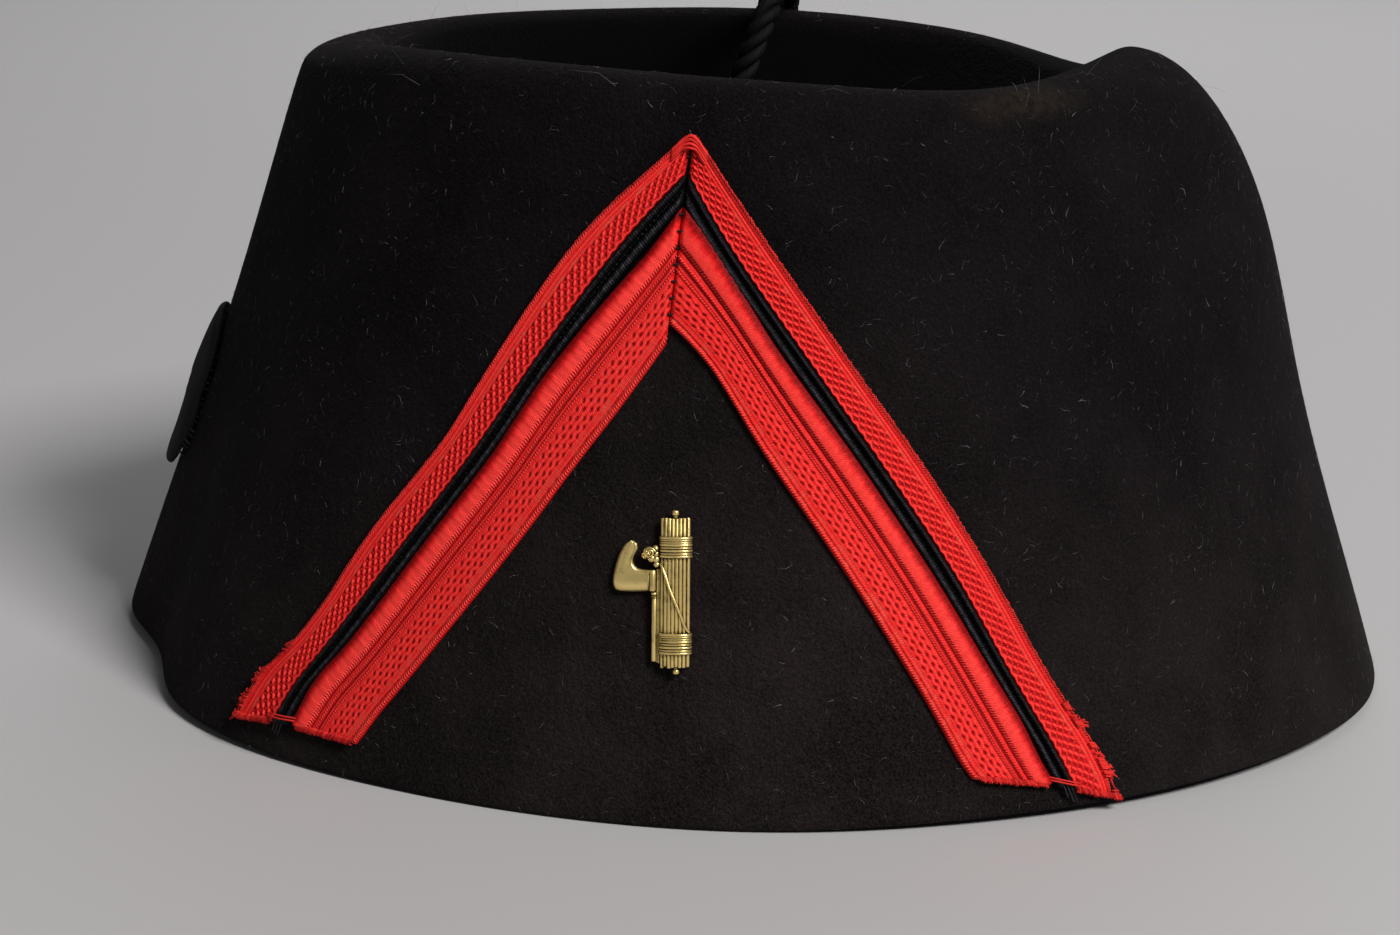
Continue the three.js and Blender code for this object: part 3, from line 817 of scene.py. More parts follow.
class ThreadBundle:
    """Many threads that become one mesh of small closed tubes.

    Each corner's weave attribute holds millimetres round the thread, millimetres along it
    and the thread's own tone from 0 to 1.
    """

    def __init__(self, sides: int = 3) -> None:
        """Starts an empty bundle.

        Args:
            sides: How many sides every thread gets.
        """
        self.sides = sides
        self.count = 0
        self.points: list[np.ndarray] = []
        self.faces: list[np.ndarray] = []
        self.weave: list[np.ndarray] = []

    def add(
        self, path: np.ndarray, radii: Any, tone: float = 0.5, side: Optional[np.ndarray] = None
    ) -> None:
        """Adds one thread.

        Args:
            path: Its middle line, in rows.
            radii: Its radius, or its radius at each row.
            tone: A number from 0 to 1 that its finish reads.
            side: A direction across it at each row; one is found where none is given.
        """
        rows, k = len(path), self.sides
        radii = np.broadcast_to(radii, rows)
        tangents = unit(np.gradient(path, axis=0))
        side = carried_side(path) if side is None else side
        side = unit(side - tangents * np.einsum("ij,ij->i", side, tangents)[:, None])
        rise = np.cross(tangents, side)
        turns = np.arange(k) * 2 * math.pi / k
        ring = np.cos(turns)[:, None] * side[:, None] + np.sin(turns)[:, None] * rise[:, None]
        skin = path[:, None] + ring * radii[:, None, None]
        base = self.count + np.arange(rows - 1)[:, None] * k
        here = np.arange(k)[None]
        there = (here + 1) % k
        quads = np.stack([base + here, base + there, base + k + there, base + k + here], axis=-1)
        along = distances(path) / MM
        around = 2 * math.pi * radii.mean() / MM / k
        low, high = np.broadcast_arrays(along[:-1, None], along[1:, None] + here * 0)
        left = np.broadcast_to(here * around, low.shape)
        right = np.broadcast_to((here + 1) * around, low.shape)
        corners = [(left, low), (right, low), (right, high), (left, high)]
        weave = np.stack([np.stack([x, y, np.full(low.shape, tone)], axis=-1) for x, y in corners], axis=2)
        self.points.append(skin.reshape(-1, 3))
        self.faces.append(quads.reshape(-1, 4))
        self.weave.append(weave.reshape(-1, 3))
        self.count += rows * k

    def build(
        self, name: str, material: bpy.types.Material, matrix: Optional[Matrix] = None
    ) -> bpy.types.Object:
        """Joins the threads in one piece, with their ends closed.

        Args:
            name: The piece's name.
            material: Its finish.
            matrix: Where the threads' own frame stands, if it isn't the model's.

        Returns:
            The finished piece.
        """
        mesh = bpy.data.meshes.new(name)
        mesh.from_pydata(np.concatenate(self.points).tolist(), [], np.concatenate(self.faces).tolist())
        weave = mesh.attributes.new("weave", "FLOAT_VECTOR", "CORNER")
        weave.data.foreach_set("vector", np.concatenate(self.weave).astype(np.float32).ravel())
        bm = bmesh.new()
        bm.from_mesh(mesh)
        bpy.data.meshes.remove(mesh)
        bmesh.ops.holes_fill(bm, edges=bm.edges, sides=self.sides)
        if matrix:
            bmesh.ops.transform(bm, matrix=matrix, verts=bm.verts)
        LOG.info("%s: %d faces", name, len(bm.faces))
        return piece_from(bm, name, material)


@dataclass(frozen=True)
class ThreadFinish:
    """Spun thread: slanted fibres round it, its tone between two colours.

    A fibre's lay is its pitch in millimetres, and the slant is how far round it goes for
    each millimetre along the thread.
    """

    name: str
    dark: Colour
    light: Colour
    lay: float = 0.5
    slant: float = 1.0
    depth: float = 0.06 * MM
    roughness: float = 0.55
    gloss: float = 0.3

    def build(self) -> bpy.types.Material:
        """Returns the material."""
        tree = ShaderTree(self.name)
        around, along, tone = tree.woven_point()
        fibres = ((along * self.slant + around) * (2 * math.pi / self.lay)).sine() * 0.5 + 0.5
        grain = tree.noise(tree.object_point(), 4500.0, 2.0)
        colour = tree.mixed((tone + fibres * 0.35 + grain * 0.5 - 0.4).clamped(), self.dark, self.light)
        tree.relief(fibres * 0.6 + grain * 0.4, self.depth)
        return tree.finish(Base_Color=colour, Roughness=self.roughness, Specular_IOR_Level=self.gloss)


# ---- the chevron's bands


Plane = tuple[np.ndarray, np.ndarray]  # a point and a normal
RING_CORNERS = {"wide_lace": 10, "narrow_lace": 10, "black_braid": 4}  # in each ring of a CAD band


class Arm(Enum):
    """The two arms of the chevron."""

    FRONT = "front"
    BACK = "back"


class FeltWall:
    """The finished felt, on which the trim is laid."""

    def __init__(self, crown: bpy.types.Object) -> None:
        """Reads the smooth felt and the CAD's own.

        Args:
            crown: The finished felt.
        """
        self.tree = BVHTree.FromObject(crown, bpy.context.evaluated_depsgraph_get())
        bare = node_mesh("crown")
        self.cad_tree = BVHTree.FromBMesh(bare)
        bare.free()

    def nearest(self, points: np.ndarray) -> np.ndarray:
        """Returns the nearest felt point to each of the given points."""
        found = [self.tree.find_nearest(Vector(p))[0] for p in points.reshape(-1, 3)]
        return np.array(found).reshape(points.shape)

    def clearance(self, points: np.ndarray) -> np.ndarray:
        """Returns each point's distance from the CAD's felt."""
        return np.array([self.cad_tree.find_nearest(Vector(p))[3] for p in points])


@dataclass
class BandRun:
    """One arm of a CAD band: its centre line on the felt and its reach to either side."""

    centre: np.ndarray
    normal: np.ndarray
    outer: np.ndarray
    inner: np.ndarray

    @classmethod
    def read(cls, node: str, arm: Arm, wall: FeltWall) -> "BandRun":
        """Reads one arm of a CAD band, from the seam to the foot.

        Args:
            node: The band's CAD node.
            arm: Which arm is read.
            wall: The felt that the band lies on.

        Returns:
            The arm's felt points: centre, normal, and outer and inner edges.
        """
        ring_size = RING_CORNERS[node]
        bm = node_mesh(node)
        caps = [v for v in bm.verts if len(v.link_edges) == ring_size]
        front = min(caps, key=lambda v: v.co.y)
        seen, level, rings = {front}, [front], []
        while True:
            level = list({e.other_vert(v) for v in level for e in v.link_edges} - seen)
            if len(level) < ring_size:
                break
            seen.update(level)
            rings.append(np.array([v.co for v in level]))
        bm.free()
        low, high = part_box("badge")
        pin = np.array((low + high) / 2)
        rows = []
        for ring in rings:
            order = np.argsort(wall.clearance(ring))
            half = ring_size // 2
            under, over = ring[order[:half]], ring[order[half:]]
            under = under[np.argsort(-np.linalg.norm(under - pin, axis=1))]
            over = over[np.argsort(-np.linalg.norm(over - pin, axis=1))]
            rows.append((under[0], under[-1], unit((over - under).mean(0))))
        seam = len(rows) // 2
        rows = rows[seam::-1] if arm is Arm.FRONT else rows[seam:]
        outer, inner, normal = (np.array(column) for column in zip(*rows))
        return cls((outer + inner) / 2, normal, outer, inner)

    def beside(self, spots: np.ndarray) -> tuple[np.ndarray, np.ndarray, np.ndarray, np.ndarray]:
        """Reads the outer edge at some distances from the seam.

        Args:
            spots: The distances along the edge.

        Returns:
            Its points, and the directions along it, out of the band and off the felt.
        """
        length = distances(self.outer)
        at = np.interp(spots, length, np.arange(len(length)))
        edge, inner, normal = (eased_rows(rows, at) for rows in (self.outer, self.inner, self.normal))
        return edge, unit(np.gradient(edge, axis=0)), unit(edge - inner), normal


@dataclass
class Strip:
    """A smooth strip of felt under one arm, read on a fine grid.

    Its rows run along the arm and its columns across it, outer edge first.
    """

    run: BandRun
    wall: FeltWall
    before_seam: float
    spread: float = 1.0
    past_foot: float = 3 * MM
    coarse: float = 2.5 * MM
    columns: int = 7
    points: np.ndarray = field(init=False)
    normals: np.ndarray = field(init=False)
    along: np.ndarray = field(init=False)

    def __post_init__(self) -> None:
        """Lays the coarse grid on the felt."""
        centre = self.run.centre
        length = distances(centre)
        total = length[-1]
        count = int((total + self.before_seam + self.past_foot) / self.coarse) + 1
        self.along = np.linspace(-self.before_seam, total + self.past_foot, count)
        at = np.interp(self.along, length, np.arange(len(length)))
        line = eased_rows(centre, at)
        start, end = unit(centre[0] - centre[1]), unit(centre[-1] - centre[-2])
        line += np.outer(np.maximum(-self.along, 0), start)
        line += np.outer(np.maximum(self.along - total, 0), end)
        line = self.wall.nearest(line)
        tangent = unit(np.gradient(line, axis=0))
        normal = unit(eased_rows(self.run.normal, at))
        side = unit(np.cross(normal, tangent))
        across = eased_rows(self.run.inner - self.run.outer, at)
        if np.einsum("ij,ij->i", side, across).mean() < 0:
            side = -side
        reach = np.einsum("ij,ij->i", across, side) * self.spread
        shares = np.linspace(-0.5, 0.5, self.columns)
        grid = line[:, None] + side[:, None] * (shares[:, None] * reach[:, None, None])
        self.points = self.wall.nearest(grid)
        down, over = np.gradient(self.points, axis=0), np.gradient(self.points, axis=1)
        normals = unit(np.cross(down, over))
        outward = np.sign(np.einsum("ijk,ik->ij", normals, normal))[..., None]
        self.normals = normals * outward

    def fine(self, rows: int, columns: int) -> tuple[np.ndarray, np.ndarray, np.ndarray]:
        """Reads the strip on a fine grid.

        Args:
            rows: How many cells it has along the arm.
            columns: How many cells it has across.

        Returns:
            Felt points, normals and each row's distance along the arm.
        """
        at_rows = np.linspace(0, len(self.along) - 1, rows + 1)
        at_columns = np.linspace(0, self.columns - 1, columns + 1)

        def refine(values: np.ndarray) -> np.ndarray:
            """Reads a coarse grid smoothly both ways."""
            tall = eased_rows(values, at_rows)
            return np.swapaxes(eased_rows(np.swapaxes(tall, 0, 1), at_columns), 0, 1)

        along = np.interp(at_rows, np.arange(len(self.along)), self.along)
        return refine(self.points), unit(refine(self.normals)), along


@dataclass
class WovenBand:
    """A lace or braid on one arm: a fine grid lifted into its weave, cut at seam and foot.

    It dips by a share of its height at both ends, and its seam gapes inwards by seam_turn,
    in degrees.
    """

    node: str
    arm: Arm
    nominal_width: float
    cell_along: float
    cell_across: float
    before_seam: float
    relief: Callable[[np.ndarray, np.ndarray], tuple[np.ndarray, np.ndarray]]
    spread: float = 1.0
    seam_turn: float = 0.0
    tip_cut: float = 0.0
    corner_cut: float = 0.0
    seam_gap: float = 0.06 * MM
    seam_start: float = 1.1 * MM
    seam_shade: float = 0.35
    seam_dip: float = 0.55
    seam_reach: float = 0.9 * MM
    foot_reach: float = 0.7 * MM
    foot_dip: float = 0.5
    sunk: float = 0.05 * MM

    def build(self, name: str, wall: FeltWall, material: bpy.types.Material) -> bpy.types.Object:
        """Makes the band's mesh.

        Args:
            name: The piece's name.
            wall: The felt it lies on.
            material: Its woven finish.

        Returns:
            The finished piece.
        """
        run = BandRun.read(self.node, self.arm, wall)
        cuts = self._cuts(run)
        bm = self._weave(Strip(run, wall, self.before_seam, self.spread), *cuts[:2])
        for place, normal in cuts:
            geom = bm.verts[:] + bm.edges[:] + bm.faces[:]
            inner = Vector(place + normal * self.seam_gap)
            bmesh.ops.bisect_plane(bm, geom=geom, plane_co=inner, plane_no=Vector(normal), clear_inner=True)
        self._skirt(bm, wall)
        bmesh.ops.recalc_face_normals(bm, faces=bm.faces)
        LOG.info("%s: %d faces", name, len(bm.faces))
        return piece_from(bm, name, material)

    def _cuts(self, run: BandRun) -> tuple[Plane, Plane, Plane, Plane]:
        """Works out the planes that cut the band, with their normals towards what is kept.

        Args:
            run: The arm that the band lies on.

        Returns:
            The planes of the seam, the foot, the tip and the foot's outer corner.
        """
        ends = []
        for end in (0, -1):
            normal = unit(np.cross(run.inner[end] - run.outer[end], run.normal[end]))
            inward = run.centre[len(run.centre) // 2] - run.centre[end]
            ends.append(normal * np.sign(normal @ inward))
        down = unit(run.inner[0] - run.outer[0])
        gaping = unit(ends[0] - down * math.tan(math.radians(self.seam_turn)))
        rise, over = unit(run.centre[-2] - run.centre[-1]), unit(run.inner[-1] - run.outer[-1])
        return (
            (run.outer[0] + down * self.seam_start, gaping),
            (run.centre[-1], ends[1]),
            (run.outer[0] + down * self.tip_cut, down),
            (run.outer[-1] + rise * self.corner_cut, unit(rise + over)),
        )

    def _weave(self, strip: Strip, seam: Plane, foot: Plane) -> BMesh:
        """Lays a fine grid along the strip and lifts it into the band's relief.

        Args:
            strip: The felt under the band.
            seam: The plane that cuts it at the seam.
            foot: The plane that cuts it at the foot.

        Returns:
            The uncut band, with its weave's coordinates and its painted shade and highlight at its corners.
        """
        rows = round((strip.along[-1] - strip.along[0]) / self.cell_along)
        columns = round(self.nominal_width / self.cell_across)
        points, normals, along = strip.fine(rows, columns)
        across = np.linspace(0, self.nominal_width, columns + 1) / MM
        handed = 1 if self.arm is Arm.BACK else -1
        x, y = np.meshgrid(across, handed * along / MM)
        height, shade = self.relief(x, y)
        to_seam, to_foot = ((points - place) @ normal for place, normal in (seam, foot))
        height = height * (1 - self.seam_dip * (1 - eased(to_seam, 0, self.seam_reach)) ** 2)
        height = height * (1 - self.foot_dip * (1 - eased(to_foot, 0, self.foot_reach)) ** 2)
        # painted shade darkens the weave in the seam's groove
        shade = shade * (self.seam_shade + (1 - self.seam_shade) * eased(to_seam, -0.1 * MM, 0.5 * MM))
        places = points + normals * (height * MM)[..., None]
        bm = bmesh.new()
        bmesh.ops.create_grid(bm, x_segments=columns, y_segments=rows, size=0.5)
        weave = bm.verts.layers.float_vector.new("weave")
        for v in bm.verts:
            i, j = round((v.co.y + 0.5) * rows), round((v.co.x + 0.5) * columns)
            v.co = places[i, j]
            v[weave] = (x[i, j], y[i, j], shade[i, j])
        return bm

    def _skirt(self, bm: BMesh, wall: FeltWall) -> None:
        """Draws the band's edge down into the felt.

        Args:
            bm: The band's mesh.
            wall: The felt it lies on.
        """
        weave = bm.verts.layers.float_vector["weave"]
        for v in drawn_rim(bm):
            place, normal, _, _ = wall.tree.find_nearest(v.co)
            v.co = place - normal * self.sunk
            # painted shade: the edge drawn into the felt takes the darkest shade
            v[weave] = (v[weave].x, v[weave].y, 0.0)


def ribbed(
    x: np.ndarray, ground: float, height: np.ndarray, shade: np.ndarray, ribs: Sequence[Sequence[float]]
) -> tuple[np.ndarray, np.ndarray]:
    """Raises round ribs that run along a lace.

    Args:
        x: Millimetres across the lace.
        ground: The height out of which they rise.
        height: The lace's height so far.
        shade: Its shade so far.
        ribs: Each rib's middle, half width, rise and shade, the shade being the painted highlight on its
            crest.

    Returns:
        The height and the shade with the ribs.
    """
    for centre, half, lift, tone in ribs:
        mound = rib(x, centre, half)
        height = np.maximum(height, ground + lift * mound)
        shade = np.maximum(shade, tone * mound**0.7)
    return height, shade


def wide_lace_relief(x: np.ndarray, y: np.ndarray) -> tuple[np.ndarray, np.ndarray]:
    """The wide lace's weave, from its satin roll over fine ribs to its openwork chain.

    Args:
        x: Millimetres across from the braid, 0 to 10.
        y: Millimetres along the arm.

    Returns:
        Its height above the felt in millimetres, and its shade from 0 to 1: painted shade low, painted
        highlight high.
    """
    ground, roll_end = 0.62, 2.7
    slub = 0.04 * np.sin(y * 2.1) + 0.03 * np.sin(y * 5.3 + 1)
    roll = ground + (0.85 + slub) * rib(x, 1.5, 1.75) ** 0.9
    height = np.where(x < roll_end, roll, ground)
    # painted shade: the satin roll darkens on its flank towards the braid
    shade = np.where(x < roll_end, 0.05 + 0.85 * eased(x, 0.35, 1.75 + slub * 4), 0.12)
    height, shade = ribbed(x, ground, height, shade, (
        (2.85, 0.26, 0.30, 0.75), (3.5, 0.16, 0.16, 0.70), (3.88, 0.22, 0.26, 0.80),
        (4.55, 0.16, 0.14, 0.70), (4.95, 0.20, 0.24, 0.80), (5.4, 0.20, 0.18, 0.72),
    ))
    chains, first, spacing, pitch = 4, 5.86, 0.71, 1.64
    inside = between(x, 5.55, 8.35, 0.12)
    chain = np.full_like(x, 0.80)
    lift = np.full_like(x, 0.24)
    for k in range(chains):
        centre = first + spacing * k + 0.05 * np.sin(2 * math.pi * y / pitch)
        phase = (y / pitch + 0.6 * k) % 1.0 - 0.5
        groove = rib(x, centre, 0.16)
        pit = np.sqrt(np.clip(1 - (phase / 0.26) ** 2 - ((x - centre + phase * 0.25) / 0.24) ** 2, 0, 1))
        # painted shade in the chain's grooves and pits
        chain = chain - 0.34 * groove - 0.62 * pit
        lift = lift - 0.05 * groove - 0.17 * pit
    height = np.where(inside > 0.02, ground + lift * inside, height)
    shade = np.where(inside > 0.02, np.clip(chain, 0.02, 1) * inside + shade * (1 - inside), shade)
    height, shade = ribbed(x, ground, height, shade, (
        (8.53, 0.22, 0.15, 0.58), (8.86, 0.16, 0.20, 0.80), (9.62, 0.40, 0.30, 0.85),
    ))
    return height - 0.35 * eased(x, 9.75, 10.0), shade


def narrow_lace_relief(x: np.ndarray, y: np.ndarray) -> tuple[np.ndarray, np.ndarray]:
    """The narrow lace's weave, from its selvedge over slanted floats to its looped edge.

    Args:
        x: Millimetres across from its outer edge, 0 to 5.1.
        y: Millimetres along the arm.

    Returns:
        Its height above the felt in millimetres, and its shade from 0 to 1: painted shade low, painted
        highlight high.
    """
    ground = 0.55
    height, shade = ribbed(x, ground, np.full_like(x, ground), np.full_like(x, 0.14), (
        (0.43, 0.46, 0.32, 0.62), (1.13, 0.22, 0.24, 0.85), (1.62, 0.26, 0.14, 0.66),
    ))
    columns, first, spacing, pitch = range(-1, 5), 2.25, 0.6, 1.58
    # painted light: the long floats carry a full painted highlight, the sunk short floats half of it
    long_float, short_float = (0.42, 0.56, 0.25, 0.30, 1.0, 0.0), (-0.8, 0.34, 0.20, 0.20, 0.5, 0.5)
    for k in columns:
        for slant, long, wide, lift, tone, shift in (long_float, short_float):
            dx = x - (first + spacing * k)
            dy = ((y / pitch + 0.5 * (k % 2) + shift) % 1.0 - 0.5) * pitch
            along = dy * math.cos(slant) - dx * math.sin(slant)
            aside = dx * math.cos(slant) + dy * math.sin(slant)
            mound = np.sqrt(np.clip(1 - (along / long) ** 2 - (aside / wide) ** 2, 0, 1))
            mound = mound * between(x, 1.82, 4.62, 0.1)
            height = np.maximum(height, ground + 0.02 + lift * mound)
            shade = np.maximum(shade, tone * mound**0.6)
    swing = np.sin(2 * math.pi * y / pitch)
    loop = rib(x, 4.82 + 0.10 * swing, 0.2)
    height = np.maximum(height, ground + 0.24 * loop)
    shade = np.maximum(shade, 0.9 * loop)
    return height - 0.3 * eased(x, 5.0, 5.1) - 0.3 * eased(-x, -0.1, 0.0), shade


def braid_relief(x: np.ndarray, y: np.ndarray) -> tuple[np.ndarray, np.ndarray]:
    """The soutache: two round ridges, the inner one broader, with crossed threads between.

    Args:
        x: Millimetres across, 0 to 2.7.
        y: Millimetres along the arm.

    Returns:
        Its height above the felt in millimetres, and its shade from 0 to 1, which its finish turns into a
        painted highlight on the ridges' crests.
    """
    outer, inner = rib(x, 0.58, 0.52), rib(x, 2.05, 0.66)
    ridges = np.maximum(outer * 0.92, inner)
    twist = 0.05 * np.sin(2 * math.pi * (y / 1.3 + x * 0.5)) + 0.03 * np.sin(y * 1.7)
    rungs = 0.16 * between(x, 1.0, 1.6, 0.25) * (0.5 + 0.5 * np.sin(2 * math.pi * (y / 0.8 + x)))
    height = 0.48 + (0.80 + twist) * ridges**0.9 + rungs
    return height, np.clip(0.1 + 0.9 * np.maximum(outer * 0.97, inner), 0.0, 1.0)


@dataclass
class Chevron:
    """The narrow lace, the braid and the wide lace, on both arms."""

    wall: FeltWall

    def build(self) -> dict[str, bpy.types.Object]:
        """Builds the six bands, which stand for the CAD's.

        Returns:
            The bands by name.
        """
        wide_finish = LaceFinish(
            "wide_lace",
            corded=((2.85, 0.34), (3.88, 0.24), (4.95, 0.22), (9.65, 0.4)),
            worn=((8.53, 0.3), (9.2, 0.25)),
        )
        narrow_finish = LaceFinish("narrow_lace", corded=((0.22, 0.36),), worn=((1.65, 0.35), (0.2, 0.2)))
        wide_red, narrow_red, black = wide_finish.build(), narrow_finish.build(), BraidFinish().build()
        built = {}
        for arm in Arm:
            wide = WovenBand(
                "wide_lace", arm, nominal_width=10 * MM, cell_along=0.17 * MM, cell_across=0.125 * MM,
                before_seam=16 * MM, relief=wide_lace_relief, corner_cut=1.3 * MM,
            )
            narrow = WovenBand(
                "narrow_lace", arm, nominal_width=5.1 * MM, cell_along=0.15 * MM, cell_across=0.12 * MM,
                before_seam=8 * MM, relief=narrow_lace_relief, seam_turn=3.5, tip_cut=0.5 * MM,
            )
            braid = WovenBand(
                "black_braid", arm, nominal_width=2.7 * MM, cell_along=0.2 * MM, cell_across=0.1 * MM,
                before_seam=4 * MM, relief=braid_relief, spread=1.37,
            )
            for band, material, slot in (
                (wide, wide_red, "red_lace"),
                (narrow, narrow_red, "red_lace"),
                (braid, black, "black_braid"),
            ):
                name = f"{band.node}_{arm.value}"
                built[name] = band.build(name, self.wall, material)
                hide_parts(band.node)
        return built


@dataclass(frozen=True)
class Tuft:
    """A tuft of weft: its rise above the foot, half height and reach in millimetres, and its ends."""

    rise: float
    half: float
    reach: float
    ends: int


@dataclass
class TrimThreads:
    """Loose threads of the trim: seam stitches, frayed feet and the narrow lace's ragged edge."""

    wall: FeltWall
    bands: dict[str, bpy.types.Object]
    red_finish: ThreadFinish
    black_finish: ThreadFinish
    front_tufts: tuple[Tuft, ...] = (
        Tuft(0.4, 0.8, 0.6, 10), Tuft(3.6, 1.5, 1.0, 22), Tuft(8.2, 1.6, 1.1, 24), Tuft(14.6, 1.8, 0.8, 20),
    )
    back_tufts: tuple[Tuft, ...] = (
        Tuft(0.5, 0.9, 0.7, 12), Tuft(4.9, 1.3, 1.25, 22), Tuft(7.6, 1.8, 0.6, 14),
        Tuft(13.2, 1.1, 1.3, 16), Tuft(16.0, 0.6, 0.6, 8),
    )
    broad_foot: float = 7 * MM
    rng: np.random.Generator = field(default_factory=lambda: np.random.default_rng(21))
    red: ThreadBundle = field(default_factory=lambda: ThreadBundle(4))
    black: ThreadBundle = field(default_factory=lambda: ThreadBundle(5))

    def build(self) -> None:
        """Makes the red and the black threads."""
        wide, narrow, braid = (
            {arm: BandRun.read(node, arm, self.wall) for arm in Arm} for node in RING_CORNERS
        )
        for arm, tufts, loop in ((Arm.FRONT, self.front_tufts, 0.18), (Arm.BACK, self.back_tufts, 0.30)):
            self._fray_foot(wide[arm], 34)
            self._fray_foot(narrow[arm], 22)
            self._loop_edge(narrow[arm], loop)
            self._fray_edge(narrow[arm], tufts)
            self._bridge_foot(braid[arm])
            self._tail(braid[arm])
        self._round_tip(list(narrow.values()))
        self._stitch_seam(wide[Arm.BACK], "wide_lace", 2.3 * MM)
        self._stitch_seam(narrow[Arm.BACK], "narrow_lace", 2.4 * MM)
        self.red.build("lace_threads", self.red_finish.build())
        self.black.build("seam_threads", self.black_finish.build())

    def _round_tip(self, runs: Sequence[BandRun]) -> None:
        """Carries the narrow lace's outer ribs round the tip in one fold.

        Args:
            runs: The lace's two arms.
        """
        ribs = ((0.26, 0.25, 0.75), (0.66, 0.22, 0.55), (1.08, 0.22, 0.8), (1.5, 0.19, 0.65))
        from_seam, lifts = np.array([3.6, 2.5, 1.5]), np.array([0.50, 0.70, 0.76])
        down = unit(runs[0].inner[0] - runs[0].outer[0])
        for inset, radius, tone in ribs:
            sides = []
            for run in runs:
                at = from_seam * MM / np.linalg.norm(run.centre[1] - run.centre[0])
                edge, inner, normal = (eased_rows(rows, at) for rows in (run.outer, run.inner, run.normal))
                sides.append(edge + unit(inner - edge) * inset * MM + unit(normal) * lifts[:, None] * MM)
            tip = runs[0].outer[0] + down * (inset * 1.35 + 0.42) * MM + runs[0].normal[0] * 0.95 * MM
            self.red.add(smooth_path(np.vstack([sides[0], tip, sides[1][::-1]]), 31), radius * MM, tone)

    def _fray_foot(self, run: BandRun, count: int) -> None:
        """Lets short thread ends stand out of a lace's cut foot, further in where it is broad.

        Args:
            run: The lace's arm.
            count: How many ends there are.
        """
        start, end, out = run.outer[-1], run.inner[-1], run.normal[-1]
        down = unit(run.centre[-1] - run.centre[-2])
        first = 0.13 if np.linalg.norm(end - start) > self.broad_foot else 0.03
        for share in np.linspace(first, 0.97, count):
            root = start + (end - start) * share + out * 0.45 * MM
            length = self.rng.uniform(0.08, 0.38) * MM
            drift = unit(end - start) * self.rng.normal() * 0.25 * MM
            rows = [
                root - down * 0.9 * MM + out * 0.30 * MM,
                root - down * 0.1 * MM + out * self.rng.uniform(0.25, 0.4) * MM,
                root + down * length * 0.6 + drift * 0.5 + out * self.rng.uniform(-0.1, 0.25) * MM,
                root + down * length + drift - out * self.rng.uniform(0.1, 0.4) * MM,
            ]
            radius = self.rng.uniform(0.09, 0.15) * MM
            self.red.add(smooth_path(rows, 8), radius, self.rng.uniform(0.2, 0.9))

    def _loop_edge(self, run: BandRun, reach: float) -> None:
        """Turns the weft's small loops round the narrow lace's outer edge.

        Args:
            run: The lace's arm.
            reach: How far a loop stands out, in millimetres.
        """
        first, pitch, arc = 1.2 * MM, 0.42 * MM, np.linspace(0, math.pi, 6)
        spots = np.arange(first, distances(run.outer)[-1], pitch)
        for edge, along, aside, normal in zip(*run.beside(spots)):
            out = reach * self.rng.uniform(0.6, 1.25)
            rows = (
                edge
                + np.outer(np.sin(arc) * out - 0.22, aside) * MM
                + np.outer((0.5 - np.cos(arc) / 2) * 0.34, along) * MM
                + np.outer(0.62 - 0.18 * np.sin(arc), unit(normal)) * MM
            )
            self.red.add(rows, 0.085 * MM, self.rng.uniform(0.35, 0.9))

    def _fray_edge(self, run: BandRun, tufts: Sequence[Tuft]) -> None:
        """Pulls a few ragged tufts of weft out of the narrow lace's outer edge above its foot.

        Args:
            run: The lace's arm.
            tufts: The tufts, from the foot up.
        """
        foot, rng = distances(run.outer)[-1], self.rng
        for tuft in tufts:
            heights = np.sort(tuft.rise + rng.uniform(-tuft.half, tuft.half, tuft.ends))
            swells = 1 - 0.7 * ((heights - tuft.rise) / tuft.half) ** 2
            for edge, along, aside, normal, swell in zip(*run.beside(foot - heights * MM), swells):
                out, slip = tuft.reach * swell * rng.uniform(0.35, 1.1), rng.normal() * 0.45
                shape = (
                    (-0.85, 0.0, 0.74), (0.02, 0.0, 0.64),
                    (0.6 * out, 0.4, rng.uniform(0.35, 0.65)), (out, 1.0, rng.uniform(0.2, 0.55)),
                )
                rows = [edge + (aside * a + along * slip * b + normal * c) * MM for a, b, c in shape]
                self.red.add(smooth_path(rows, 9), rng.uniform(0.07, 0.13) * MM, rng.uniform(0.3, 1))

    def _bridge_foot(self, run: BandRun) -> None:
        """Lays two red threads across the braid near its foot.

        Args:
            run: The braid's arm.
        """
        up = unit(run.centre[-2] - run.centre[-1])
        outer, inner, past = run.outer[-1], run.inner[-1], 0.6
        start, end = outer * (1 + past) - inner * past, inner * (1 + past) - outer * past
        share = np.linspace(0, 1, 9)[:, None]
        for rise, lift in ((1.1, 1.5), (1.6, 1.52)):
            bow = np.sin(math.pi * share) * (lift - 0.7) + 0.7
            line = start * (1 - share) + end * share + up * rise * MM
            self.red.add(line + run.normal[-1] * bow * MM, 0.13 * MM, 0.6)

    def _tail(self, run: BandRun) -> None:
        """Leaves the braid's thin unravelled tails below its foot.

        Args:
            run: The braid's arm.
        """
        down, out = unit(run.centre[-1] - run.centre[-2]), run.normal[-1]
        for share in (0.25, 0.5, 0.75):
            root = run.outer[-1] * (1 - share) + run.inner[-1] * share + out * 0.75 * MM
            length = self.rng.uniform(1.2, 2.2) * MM
            rows = [
                root - down * 0.8 * MM, root,
                root + down * length * 0.5 - out * 0.3 * MM, root + down * length - out * 0.55 * MM,
            ]
            self.black.add(smooth_path(rows, 9), 0.16 * MM, self.rng.random())

